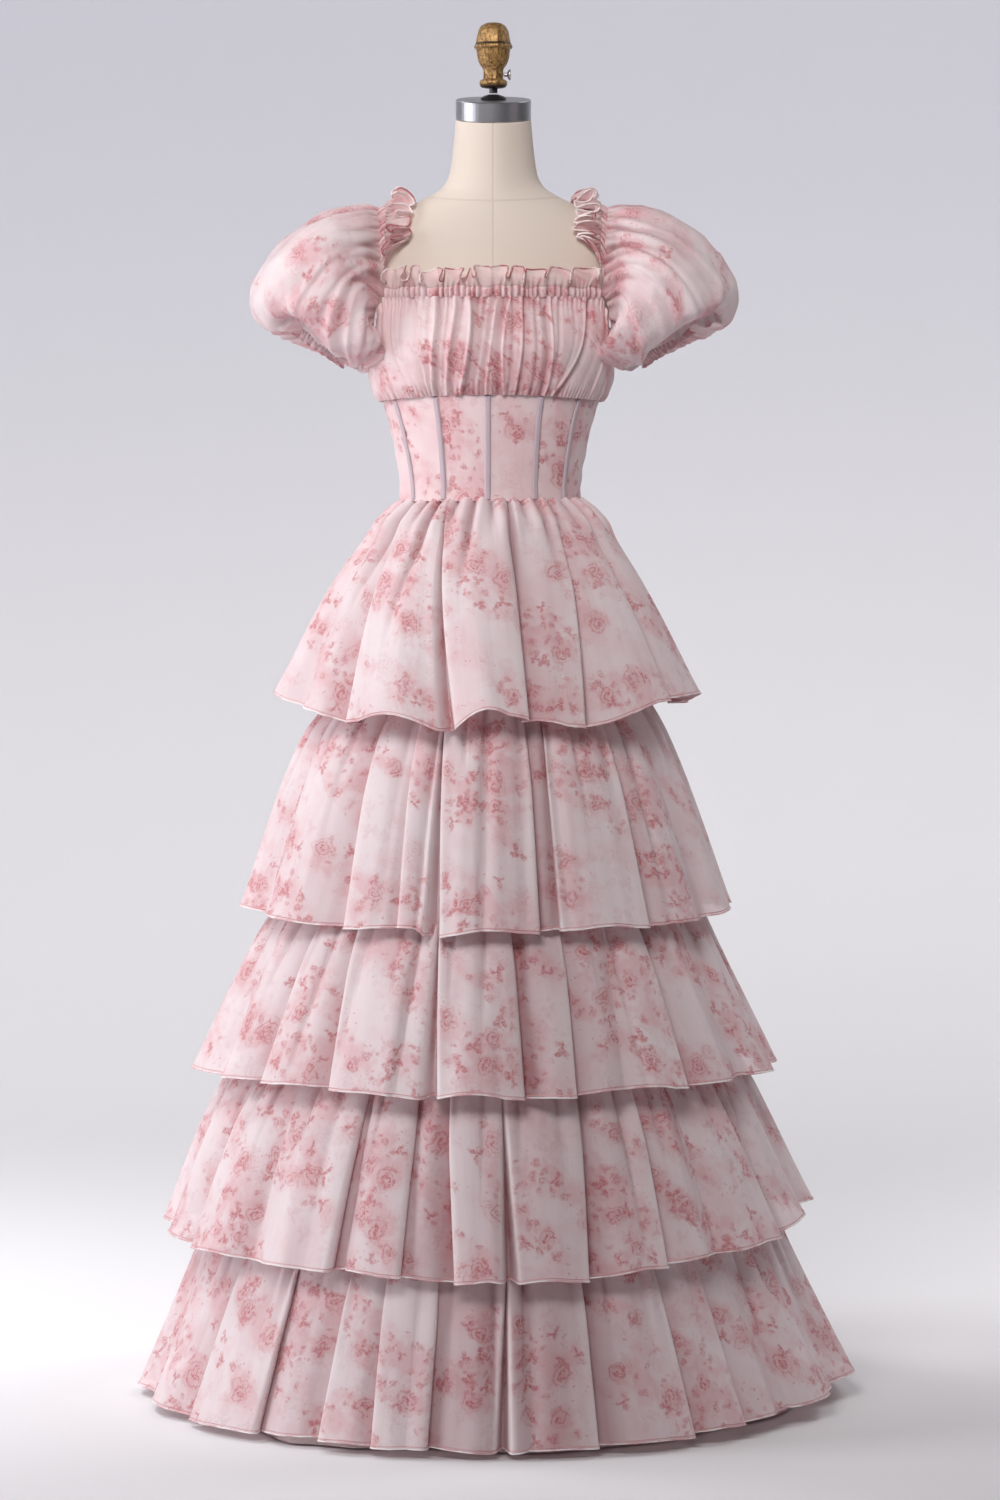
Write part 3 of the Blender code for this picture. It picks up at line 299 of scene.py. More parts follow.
# ------------------------------------------------ form torso: one row a ring
TORSO = (
    # z,      half_width, front,  back,  centre_y, tilt_deg
    (0.8400, 0.1180, 0.0920, 0.0980, 0.0, 0.0),
    (0.8500, 0.1290, 0.1000, 0.1060, 0.0, 0.0),
    (0.9300, 0.1330, 0.1020, 0.1080, 0.0, 0.0),
    (1.0000, 0.1190, 0.0920, 0.0950, 0.0, 0.0),
    (1.0550, 0.1020, 0.0745, 0.0730, 0.0, 0.0),
    (1.0900, 0.0990, 0.0730, 0.0715, 0.0, 0.0),
    (1.1200, 0.1015, 0.0765, 0.0735, 0.0, 0.0),
    (1.1600, 0.1080, 0.0840, 0.0790, 0.0, 0.0),
    (1.2150, 0.1240, 0.0950, 0.0870, 0.0, 0.0),
    (1.2720, 0.1370, 0.1060, 0.0960, 0.0, 0.0),
    (1.3200, 0.1420, 0.1000, 0.0970, 0.0, 0.0),
    (1.3600, 0.1500, 0.0840, 0.0900, 0.0, 0.0),
    (1.3900, 0.1580, 0.0740, 0.0840, 0.0, 0.0),
    (1.4120, 0.1530, 0.0680, 0.0780, 0.0, 0.0),
    (1.4300, 0.1340, 0.0640, 0.0730, 0.001, 0.0),
    (1.4460, 0.1070, 0.0600, 0.0700, 0.002, 1.0),
    (1.4600, 0.0790, 0.0560, 0.0660, 0.002, 3.0),
    (1.4720, 0.0610, 0.0520, 0.0600, 0.001, 5.0),
    (1.4860, 0.0535, 0.0490, 0.0540, 0.000, 7.0),
    (1.5150, 0.0490, 0.0470, 0.0490, 0.000, 9.0),
    (1.5530, 0.0455, 0.0455, 0.0455, 0.000, 10.0),
)

# ------------------------------------------------ turned pieces
FINIAL = (
    # radius, z
    (0.0000, 1.6695), (0.0090, 1.6685), (0.0145, 1.6655), (0.0180, 1.6600),
    (0.0198, 1.6520), (0.0212, 1.6440), (0.0220, 1.6430), (0.0234, 1.6405),
    (0.0232, 1.6385), (0.0205, 1.6370), (0.0198, 1.6310), (0.0188, 1.6250),
    (0.0160, 1.6180), (0.0128, 1.6140), (0.0120, 1.6120), (0.0120, 1.6010),
    (0.0150, 1.6000), (0.0168, 1.5980), (0.0168, 1.5945), (0.0150, 1.5915),
    (0.0110, 1.5905), (0.0000, 1.5905),
)
SCREW_Z = 1.6065
SCREW_X = 0.0200          # inner face of the thumb screw's head



# =================================================================== helpers
def hermite(rows, z, column):
    """Smooth value of a column at height z; rows run steadily in z."""
    up = rows[-1][0] > rows[0][0]
    table = rows if up else tuple(reversed(rows))
    zs = [r[0] for r in table]
    vs = [r[column] for r in table]
    n = len(zs)
    if z <= zs[0]:
        return vs[0]
    if z >= zs[-1]:
        return vs[-1]
    i = 0
    while zs[i + 1] < z:
        i += 1
    d = [(vs[j + 1] - vs[j]) / (zs[j + 1] - zs[j]) for j in range(n - 1)]

    def slope(j):
        if j == 0:
            return d[0]
        if j == n - 1:
            return d[-1]
        if d[j - 1] * d[j] <= 0:
            return 0.0
        return 2 * d[j - 1] * d[j] / (d[j - 1] + d[j])
    h = zs[i + 1] - zs[i]
    t = (z - zs[i]) / h
    m0, m1 = slope(i) * h, slope(i + 1) * h
    return ((2 * t ** 3 - 3 * t ** 2 + 1) * vs[i] + (t ** 3 - 2 * t ** 2 + t) * m0
            + (-2 * t ** 3 + 3 * t ** 2) * vs[i + 1] + (t ** 3 - t ** 2) * m1)


def step(a, b, x):
    t = max(0.0, min(1.0, (x - a) / (b - a)))
    return t * t * (3 - 2 * t)


def wrap(deg):
    return (deg + 180.0) % 360.0 - 180.0


# ============================================================ garment shapes
def bust_full(deg, z):
    a = (abs(wrap(deg)) - BUST_APEX_DEG) / 17.0
    b = (z - BUST_APEX_Z) / 0.034
    return BUST_FULL * math.exp(-a * a - b * b)


def body_point(deg, z, out=0.0):
    """A point on the outside of the bodice, moved out by `out`."""
    a = hermite(BODICE, z, 1)
    front = cos(radians(deg)) > 0
    b = hermite(BODICE, z, 2 if front else 3)
    cx = hermite(BODICE, z, 4)
    s, c = sin(radians(deg)), cos(radians(deg))
    nx, ny = s / a, -c / b
    ln = sqrt(nx * nx + ny * ny)
    o = out + bust_full(deg, z)
    return Vector((cx + a * s + o * nx / ln, -b * c + o * ny / ln, z))


def underbust_z(deg):
    return UNDERBUST_SIDE_Z + (UNDERBUST_FRONT_Z - UNDERBUST_SIDE_Z) * max(0.0, cos(radians(deg))) ** 2


def neck_edge_z(deg):
    """Height of the bodice's upper edge: level at front and back, dipping
    to the underarm between."""
    d = abs(wrap(deg))
    if d <= 90.0:
        t = max(0.0, (d - NECK_CORNER_DEG) / (90.0 - NECK_CORNER_DEG))
        top = NECK_FRONT_Z
    else:
        t = max(0.0, (NECK_CORNER_BACK_DEG - d) / (NECK_CORNER_BACK_DEG - 90.0))
        top = NECK_BACK_Z
    return top + (UNDERARM_Z - top) * sin(t * pi / 2) ** 1.3


def tier_ring(tier, z):
    rows = TIER_LEVELS[tier]
    return [hermite(rows, z, k) for k in range(1, 6)]


def tier_point(tier, face, s, t):
    """face: fold row whose face this is; s 0..1 across it; t 0 top..1 hem."""
    rows = FOLDS[tier]
    n = len(rows)
    here, after = rows[face], rows[(face + 1) % n]
    turn = 360.0 if face == n - 1 else 0.0
    ease = t ** 0.75
    v0 = here[0] + (here[1] - here[0]) * ease
    v1 = after[0] + turn + (after[1] - after[0]) * ease
    span = v1 - v0
    levels = TIER_LEVELS[tier]
    z_top, z_hem = levels[0][0], levels[-1][0]
    z = z_top + (z_hem - z_top) * t
    left, right, front, back, fold = tier_ring(tier, z)
    width = 0.5 * (left + right)
    # valley shapes at the two ends of the face
    reach = {"steep": 0.17, "slow": 0.62, "soft": 0.40}
    start = {"L": "slow", "R": "steep", "O": "steep", "S": "soft"}[here[2]]
    end = {"L": "steep", "R": "slow", "O": "steep", "S": "soft"}[after[2]]
    r0, r1 = reach[start], reach[end]
    depth = (here[3] * (1 - step(0.0, r0, s)) + after[3] * (1 - step(0.0, r1, 1 - s))) * fold
    depth -= here[4] * 0.001 * step(0, 0.3, s) * step(0, 0.3, 1 - s) * t
    # fold edges reach past their valleys
    lap = 0.0
    grow = math.degrees(LAP_MM * 0.001 / width) * step(0.0, 0.35, t)
    if start == "steep" and s < 0.3:
        lap -= grow * sin(pi * s / 0.3) * (0.45 if here[2] == "O" else 1.0)
    if end == "steep" and s > 0.7:
        lap += grow * sin(pi * (1 - s) / 0.3) * (0.45 if after[2] == "O" else 1.0)
    deg = v0 + span * s + lap
    a = radians(deg)
    sx = right if sin(a) > 0 else left
    w = sin(a) ** 2
    half = sx if abs(sin(a)) > 0 else width
    # keep the ring round where left and right halves meet
    half = width + (half - width) * w
    b = front if cos(a) > 0 else back
    b = 0.5 * (front + back) + (b - 0.5 * (front + back)) * cos(a) ** 2
    nx, ny = sin(a) / half, -cos(a) / b
    ln = sqrt(nx * nx + ny * ny)
    x = half * sin(a) - depth * nx / ln
    y = -b * cos(a) - depth * ny / ln
    drop = here[5] + (after[5] - here[5]) * step(0, 1, s) - here[6] * sin(pi * s) ** 1.2
    z -= 0.001 * drop * t * t
    return Vector((x, y, z))


def lining_point(deg, t):
    z0, z1 = LINING[0][0], LINING[-1][0]
    z = z0 + (z1 - z0) * t
    w, f, amp = (hermite(LINING, z, k) for k in (1, 2, 3))
    a = radians(deg)
    d = amp * (0.5 - 0.5 * cos(a * LINING_FOLDS + 0.6 * sin(2 * a)))
    return Vector(((w - d) * sin(a), -(f - d) * cos(a), z))


def neck_path(u):
    """The neckline seam: u 0..1 front, 1..2 wearer's left shoulder,
    2..3 back, 3..4 wearer's right shoulder.  Returns point, outward and
    upward directions for the frill."""
    seg = int(u) % 4
    f = u - int(u)
    if seg == 0:
        deg = -NECK_CORNER_DEG + 2 * NECK_CORNER_DEG * f
        p = body_point(deg, NECK_FRONT_Z + 0.0012, 0.0)
        out = Vector((sin(radians(deg)) * 0.8, -cos(radians(deg)), 0)).normalized()
        return p, out, Vector((0, 0, 1))
    if seg == 2:
        deg = NECK_CORNER_BACK_DEG + (360 - 2 * NECK_CORNER_BACK_DEG) * f
        p = body_point(deg, NECK_BACK_Z + 0.0012, 0.0)
        out = Vector((sin(radians(deg)) * 0.8, -cos(radians(deg)), 0)).normalized()
        return p, out, Vector((0, 0, 1))
    sgn = 1.0 if seg == 1 else -1.0
    g = f if seg == 1 else 1.0 - f
    a = body_point(NECK_CORNER_DEG * sgn, NECK_FRONT_Z + 0.0012, 0.0)
    b = body_point(NECK_CORNER_BACK_DEG * sgn, NECK_BACK_Z + 0.0012, 0.0)
    ang = pi * g
    y = -cos(ang)
    y = a.y * -y if y < 0 else b.y * y
    zz = a.z + (b.z - a.z) * g
    z = zz + (SHOULDER_Z - zz) * sin(ang) ** 0.8
    x = a.x + (b.x - a.x) * g + sgn * (SHOULDER_X - abs(0.5 * (a.x + b.x))) * sin(ang)
    k = sin(ang) ** 0.7
    up = Vector((-sgn * 0.80 * k, -cos(ang) * 0.15, 1.0 - 0.40 * k)).normalized()
    out = Vector((sgn * (0.35 + 0.25 * k), -cos(ang) * 0.9, 0.80 * k))
    out = (out - up * out.dot(up)).normalized()
    return Vector((x, y, z)), out, up


def sleeve_seam(psi, sgn):
    """Ring where the sleeve joins the neckline and the bodice.
    psi 0 top, 90 front, 180 underarm, 270 back."""
    psi = psi % 360.0
    if psi <= 90.0:                      # over the front of the shoulder
        g = 0.5 * (1 - psi / 90.0)
        p, o, up = neck_path(1.0 + g if sgn > 0 else 4.0 - g if g > 0 else 3.99999)
        return p + o * 0.0022
    if psi >= 270.0:
        g = 0.5 + 0.5 * (360.0 - psi) / 90.0
        g = min(g, 0.99999)
        p, o, up = neck_path(1.0 + g if sgn > 0 else 4.0 - g)
        return p + o * 0.0022
    if psi <= 180.0:
        f = (psi - 90.0) / 90.0
        deg = NECK_CORNER_DEG + (90.0 - NECK_CORNER_DEG) * f
    else:
        f = (270.0 - psi) / 90.0
        deg = NECK_CORNER_BACK_DEG + (90.0 - NECK_CORNER_BACK_DEG) * f
    z = neck_edge_z(deg)
    return body_point(deg * sgn, z + 0.0014, 0.0050)


def ring_point(row, psi, sgn):
    """A point of a sleeve ring; hug brings its lower front in over the side
    of the bust."""
    ox, oz, ix, iz, front, back, hug = row
    c, s = cos(radians(psi)), sin(radians(psi))
    y = -(front if s > 0 else back) * abs(s) ** 0.9 * (1 if s > 0 else -1)
    inward = hug * 2.0 * max(0.0, s) * max(0.0, -c)
    return Vector((sgn * (0.5 * (ox + ix) + 0.5 * (ox - ix) * c - inward), y,
                   0.5 * (oz + iz) + 0.5 * (oz - iz) * c))


def edge_deg(top, bottom, z):
    f = (z - WAIST_Z) / (UNDERBUST_FRONT_Z - WAIST_Z)
    return bottom + (top - bottom) * f


def gap_deg(gap, z):
    return math.degrees(gap / 0.5 / (hermite(BODICE, z, 1) + hermite(BODICE, z, 2)))




# ================================================================ mesh tools
def smooth(a, b, x):
    t = np.clip((x - a) / (b - a), 0.0, 1.0)
    return t * t * (3 - 2 * t)


def bell(x, w):
    return np.exp(-(x / w) ** 2)


def new_mesh(name, verts, faces, face_mats, mats, uvs=None, attrs=None):
    """verts (n,3); faces list of index tuples; uvs {layer: (loops,2)}."""
    me = bpy.data.meshes.new(name)
    me.from_pydata([tuple(v) for v in np.asarray(verts, float).tolist()], [], faces)
    for m in mats:
        me.materials.append(m)
    me.polygons.foreach_set("use_smooth", [True] * len(me.polygons))
    if face_mats is not None:
        me.polygons.foreach_set("material_index", face_mats)
    if uvs is not None:
        layer = me.uv_layers.new(name="UVMap")
        layer.data.foreach_set("uv", np.asarray(uvs, np.float32).ravel())
    for key, values in (attrs or {}).items():
        at = me.attributes.new(key, 'FLOAT', 'POINT')
        at.data.foreach_set("value", np.asarray(values, np.float32).ravel())
    me.update()
    ob = bpy.data.objects.new(name, me)
    bpy.context.scene.collection.objects.link(ob)
    return ob


def grid_faces(rows, cols, closed, flip=False, base=0):
    out = []
    span = cols if closed else cols - 1
    for i in range(rows - 1):
        for j in range(span):
            a, b = base + i * cols + j, base + i * cols + (j + 1) % cols
            c, d = base + (i + 1) * cols + (j + 1) % cols, base + (i + 1) * cols + j
            out.append((a, b, c, d) if flip else (a, d, c, b))
    return out


def grid_uv(ua, ub, flip=False):
    """Corner UVs of a grid: ua (rows, span, 2) is each face's left side and
    ub its right side, on the same row."""
    tl, tr, bl, br = ua[:-1], ub[:-1], ua[1:], ub[1:]
    order = (tl, tr, br, bl) if flip else (tl, bl, br, tr)
    return np.stack(order, axis=2).reshape(-1, 2)


def normals_of(P, closed):
    """Unit normals of a grid of points; rows run down, columns run with the
    angle, and the normal points outwards."""
    du = np.roll(P, -1, 1) - np.roll(P, 1, 1) if closed else np.gradient(P, axis=1)
    dv = np.gradient(P, axis=0)
    n = np.cross(dv, du)
    ln = np.linalg.norm(n, axis=2, keepdims=True)
    return n / np.maximum(ln, 1e-9)


def arc_along(P, axis, closed=False):
    """Distance along rows (axis 1) or columns (axis 0) of a grid."""
    d = np.linalg.norm(np.diff(P, axis=axis), axis=2)
    out = np.zeros(P.shape[:2])
    if axis == 1:
        out[:, 1:] = np.cumsum(d, axis=1)
    else:
        out[1:] = np.cumsum(d, axis=0)
    return out


def tube_along(points, radius, sides, closed):
    """Vertices and faces of a thin tube along a line of points (n,3)."""
    n = len(points)
    pts = np.asarray(points, float)
    if closed:
        tang = np.roll(pts, -1, 0) - np.roll(pts, 1, 0)
    else:
        tang = np.gradient(pts, axis=0)
    tang /= np.maximum(np.linalg.norm(tang, axis=1, keepdims=True), 1e-9)
    up = np.array([0.0, 0.0, 1.0])
    side = np.cross(tang, up)
    ln = np.linalg.norm(side, axis=1, keepdims=True)
    bad = ln[:, 0] < 0.1
    side[bad] = np.cross(tang[bad], np.array([1.0, 0.0, 0.0]))
    side /= np.maximum(np.linalg.norm(side, axis=1, keepdims=True), 1e-9)
    top = np.cross(side, tang)
    rad = np.broadcast_to(np.asarray(radius, float), (n,))
    verts = []
    for k in range(sides):
        a = 2 * pi * k / sides
        verts.append(pts + (side * cos(a) + top * sin(a)) * rad[:, None])
    V = np.stack(verts, axis=1).reshape(-1, 3)
    faces = []
    for i in range(n if closed else n - 1):
        for k in range(sides):
            a, b = i * sides + k, i * sides + (k + 1) % sides
            c, d = ((i + 1) % n) * sides + (k + 1) % sides, ((i + 1) % n) * sides + k
            faces.append((a, b, c, d))
    return V, faces


def cloth_piece(name, P, closed, ua, ub, mats, flip=False, edge_rows=(), edge_radius=0.0007, attrs=None, sides=5, stitch_row=None):
    """A sheet through the grid P, with rolled or turned edges along the rows
    named in edge_rows as thin tubes of the second material."""
    rows, cols = P.shape[:2]
    V = P.reshape(-1, 3)
    F = grid_faces(rows, cols, closed, flip)
    uv = grid_uv(ua, ub, flip)
    fm = [0] * len(F)
    extra = {k: list(np.asarray(v, float).ravel()) for k, v in (attrs or {}).items()}
    lines = [(r, edge_radius, 1) for r in edge_rows] + ([(stitch_row, 0.55 * edge_radius, 2)] if stitch_row is not None else [])
    for r, radius, slot in lines:
        line = P[r]
        tv, tf = tube_along(line, radius, sides, closed)
        base = len(V)
        V = np.vstack([V, tv])
        F += [tuple(base + i for i in f) for f in tf]
        fm += [slot] * len(tf)
        uu = np.repeat(np.linspace(0, 1, len(tf)), 4)
        uv = np.vstack([uv, np.stack([uu * 2.0, uu * 0 + 0.5], 1)])
        for k in extra:
            extra[k] += [0.0] * len(tv)
    return new_mesh(name, V, F, fm, mats, uv, extra)


def cloth_area(P, closed):
    if closed:
        P = np.concatenate([P, P[:, :1]], axis=1)
    a, b, c, d = P[:-1, :-1], P[:-1, 1:], P[1:, 1:], P[1:, :-1]
    return float((np.linalg.norm(np.cross(b - a, c - a), axis=2)
                  + np.linalg.norm(np.cross(c - a, d - a), axis=2)).sum() / 2)


def table_at(rows, x, column):
    """Smooth value of a column at x, through rows in rising x."""
    return hermite(rows, x, column)


# ================================================================= materials
class Tree:
    """Short hand for building shader nodes."""

    def __init__(self, tree):
        self.tree, self.nodes, self.links = tree, tree.nodes, tree.links

    def add(self, kind, **props):
        node = self.nodes.new(kind)
        for key, value in props.items():
            setattr(node, key, value)
        return node

    def put(self, socket, value):
        if hasattr(value, "default_value") or isinstance(value, bpy.types.NodeSocket):
            self.links.new(value, socket)
        else:
            socket.default_value = value

    def math(self, op, a, b=0.0, c=0.0, clamp=False):
        n = self.add("ShaderNodeMath", operation=op, use_clamp=clamp)
        for sock, value in zip(n.inputs, (a, b, c)):
            self.put(sock, value)
        return n.outputs[0]

    def vec(self, op, a, b=(0, 0, 0), scale=None):
        n = self.add("ShaderNodeVectorMath", operation=op)
        self.put(n.inputs[0], a)
        self.put(n.inputs[1], b)
        if scale is not None:
            self.put(n.inputs["Scale"], scale)
        return n.outputs["Value"] if op in ("LENGTH", "DOT_PRODUCT", "DISTANCE") else n.outputs["Vector"]

    def noise(self, vector, scale, detail=2.0, rough=0.5, dims='2D', out="Fac"):
        n = self.add("ShaderNodeTexNoise", noise_dimensions=dims)
        self.put(n.inputs["Vector"], vector)
        n.inputs["Scale"].default_value = scale
        n.inputs["Detail"].default_value = detail
        n.inputs["Roughness"].default_value = rough
        return n.outputs[out]

    def cells(self, vector, randomness=0.8):
        n = self.add("ShaderNodeTexVoronoi", voronoi_dimensions='2D', feature='F1')
        self.put(n.inputs["Vector"], vector)
        n.inputs["Scale"].default_value = 1.0
        n.inputs["Randomness"].default_value = randomness
        return n.outputs["Distance"], n.outputs["Color"], n.outputs["Position"]

    def step(self, a, b, x):
        n = self.add("ShaderNodeMapRange", interpolation_type='SMOOTHSTEP', clamp=True)
        self.put(n.inputs["Value"], x)
        self.put(n.inputs["From Min"], a)
        self.put(n.inputs["From Max"], b)
        return n.outputs["Result"]

    def mix(self, fac, a, b):
        n = self.add("ShaderNodeMix", data_type='RGBA')
        self.put(n.inputs[0], fac)
        self.put(n.inputs[6], a)
        self.put(n.inputs[7], b)
        return n.outputs[2]

    def split(self, v):
        n = self.add("ShaderNodeSeparateXYZ")
        self.put(n.inputs[0], v)
        return n.outputs

    def join(self, x, y, z=0.0):
        n = self.add("ShaderNodeCombineXYZ")
        for sock, value in zip(n.inputs, (x, y, z)):
            self.put(sock, value)
        return n.outputs[0]


def rgb(r, g, b):
    """Screen colour to linear, as a 4-value colour."""
    def lin(c):
        c /= 255.0
        return c / 12.92 if c <= 0.04045 else ((c + 0.055) / 1.055) ** 2.4
    return (lin(r), lin(g), lin(b), 1.0)


def print_group():
    """The floral print, drawn on cloth measured in metres: hazy roses, three
    lobed leaves, buds and sprays of dots, strung in slanting garlands."""
    g = bpy.data.node_groups.new("floral_print", 'ShaderNodeTree')
    g.interface.new_socket("Vector", in_out='INPUT', socket_type='NodeSocketVector')
    g.interface.new_socket("Motif", in_out='OUTPUT', socket_type='NodeSocketFloat')
    g.interface.new_socket("Wash", in_out='OUTPUT', socket_type='NodeSocketFloat')
    t = Tree(g)
    gin = t.add("NodeGroupInput")
    gout = t.add("NodeGroupOutput")
    mm = t.vec('SCALE', gin.outputs[0], scale=1000.0)
    # watery wander of every outline
    n1 = t.vec('SUBTRACT', t.noise(mm, 0.040, 1.0, 0.5, out="Color"), (0.5, 0.5, 0.5))
    n2 = t.vec('SUBTRACT', t.noise(mm, 0.17, 1.0, 0.5, out="Color"), (0.5, 0.5, 0.5))
    soft = t.vec('ADD', mm, t.vec('SCALE', n1, scale=16.0))
    soft = t.vec('ADD', soft, t.vec('SCALE', n2, scale=6.0))
    fine = t.noise(mm, 0.30, 2.0, 0.6)
    mid = t.noise(mm, 0.085, 2.0, 0.55)

    def garland(v):
        x, y, z = t.split(v)
        u = t.math('ADD', t.math('MULTIPLY', x, 0.80), t.math('MULTIPLY', y, 0.60))
        w = t.math('SUBTRACT', t.math('MULTIPLY', y, 0.80), t.math('MULTIPLY', x, 0.60))
        return t.noise(t.join(t.math('MULTIPLY', u, 1 / 150.0), t.math('MULTIPLY', w, 1 / 62.0)), 1.0, 1.0, 0.35)

    def motif_cells(size, shift, randomness=0.8):
        v = t.vec('ADD', t.vec('SCALE', soft, scale=1.0 / size), shift)
        dist, colour, pos = t.cells(v, randomness)
        d = t.vec('SUBTRACT', v, pos)
        dx, dy, dz = t.split(d)
        r = t.math('MULTIPLY', dist, size)
        cr, cg, cb = t.split(colour)
        ang = t.math('ADD', t.math('ARCTAN2', dy, dx), t.math('MULTIPLY', cr, 6.283))
        centre = t.vec('SCALE', t.vec('SUBTRACT', pos, shift), scale=size)
        return r, ang, cr, cg, cb, centre

    here = garland(soft)
    # roses
    r, ang, cr, cg, cb, centre = motif_cells(50.0, (3.1, 7.7, 0.0), 0.75)
    g_c = garland(centre)
    size = t.math('ADD', 12.0, t.math('MULTIPLY', cb, 8.0))
    r2 = t.math('MULTIPLY', r, t.math('ADD', 0.72, t.math('MULTIPLY', mid, 0.56)))
    body = t.math('SUBTRACT', 1.0, t.step(t.math('MULTIPLY', size, 0.50), t.math('MULTIPLY', size, 1.08), r2))
    swirl = t.math('SINE', t.math('ADD', t.math('ADD', ang, t.math('MULTIPLY', r2, 0.88)), t.math('MULTIPLY', mid, 9.0)))
    swirl = t.step(-0.30, 0.70, swirl)
    heart = t.math('SUBTRACT', 1.0, t.step(2.0, 8.0, r2))
    tone = t.math('ADD', t.math('ADD', 0.17, t.math('MULTIPLY', swirl, 0.60)), t.math('MULTIPLY', heart, 0.22))
    brush = t.step(0.26, 0.70, fine)
    tone = t.math('MULTIPLY', tone, t.math('ADD', 0.45, t.math('MULTIPLY', brush, 0.60)))
    keep = t.math('MULTIPLY', t.step(0.485, 0.53, g_c), t.math('GREATER_THAN', cg, 0.16))
    rose = t.math('MULTIPLY', t.math('MULTIPLY', body, tone), keep)
    haze = t.math('MULTIPLY', t.math('SUBTRACT', 1.0, t.step(t.math('MULTIPLY', size, 0.4), t.math('MULTIPLY', size, 1.9), r2)), keep)
    # three lobed leaves
    r, ang, cr, cg, cb, centre = motif_cells(31.0, (11.3, 2.9, 0.0), 0.85)
    g_l = garland(centre)
    lobe = t.math('POWER', t.math('ABSOLUTE', t.math('COSINE', t.math('MULTIPLY', ang, 1.5))), 1.3)
    reach = t.math('MULTIPLY', t.math('ADD', 7.0, t.math('MULTIPLY', cb, 6.0)), t.math('ADD', 0.22, t.math('MULTIPLY', lobe, 0.78)))
    leaf = t.math('SUBTRACT', 1.0, t.step(t.math('SUBTRACT', reach, 4.4), t.math('ADD', reach, 2.0), r))
    keep = t.math('MULTIPLY', t.step(0.445, 0.480, g_l), t.math('GREATER_THAN', cg, 0.52))
    leaf = t.math('MULTIPLY', t.math('MULTIPLY', leaf, keep), t.math('ADD', 0.38, t.math('MULTIPLY', brush, 0.55)))
    # buds filling the garlands
    r, ang, cr, cg, cb, centre = motif_cells(14.0, (5.7, 13.1, 0.0), 0.95)
    g_b = garland(centre)
    reach = t.math('ADD', 2.4, t.math('MULTIPLY', cb, 3.6))
    bud = t.math('SUBTRACT', 1.0, t.step(t.math('SUBTRACT', reach, 3.0), t.math('ADD', reach, 2.0), r))
    keep = t.math('MULTIPLY', t.step(0.50, 0.54, g_b), t.math('GREATER_THAN', cg, 0.38))
    bud = t.math('MULTIPLY', t.math('MULTIPLY', bud, keep), t.math('ADD', 0.16, t.math('MULTIPLY', brush, 0.60)))
    # sprays of dots at the garlands' edges
    r, ang, cr, cg, cb, centre = motif_cells(7.0, (1.7, 3.3, 0.0), 1.0)
    dot = t.math('SUBTRACT', 1.0, t.step(0.9, 2.0, r))
    spray = t.math('MULTIPLY', t.step(0.44, 0.47, here), t.math('SUBTRACT', 1.0, t.step(0.52, 0.58, here)))
    spray = t.math('MULTIPLY', spray, t.step(0.50, 0.58, mid))
    dot = t.math('MULTIPLY', t.math('MULTIPLY', dot, spray), t.math('MULTIPLY', t.math('GREATER_THAN', cg, 0.45), 0.45))
    motif = t.math('MAXIMUM', t.math('MAXIMUM', rose, leaf), t.math('MAXIMUM', bud, dot))
    # pink haze over and between the garlands
    cloud = t.noise(mm, 0.0150, 3.0, 0.55)
    veil = t.noise(mm, 0.030, 3.0, 0.6)
    wash = t.math('ADD', t.math('MULTIPLY', t.step(0.40, 0.70, cloud), 0.44),
                  t.math('MULTIPLY', t.step(0.42, 0.60, here), t.math('ADD', 0.20, t.math('MULTIPLY', t.step(0.36, 0.64, veil), 0.62))), clamp=True)
    wash = t.math('ADD', wash, t.math('MULTIPLY', haze, 0.34), clamp=True)
    t.links.new(motif, gout.inputs[0])
    t.links.new(wash, gout.inputs[1])
    return g


PRINT = print_group()


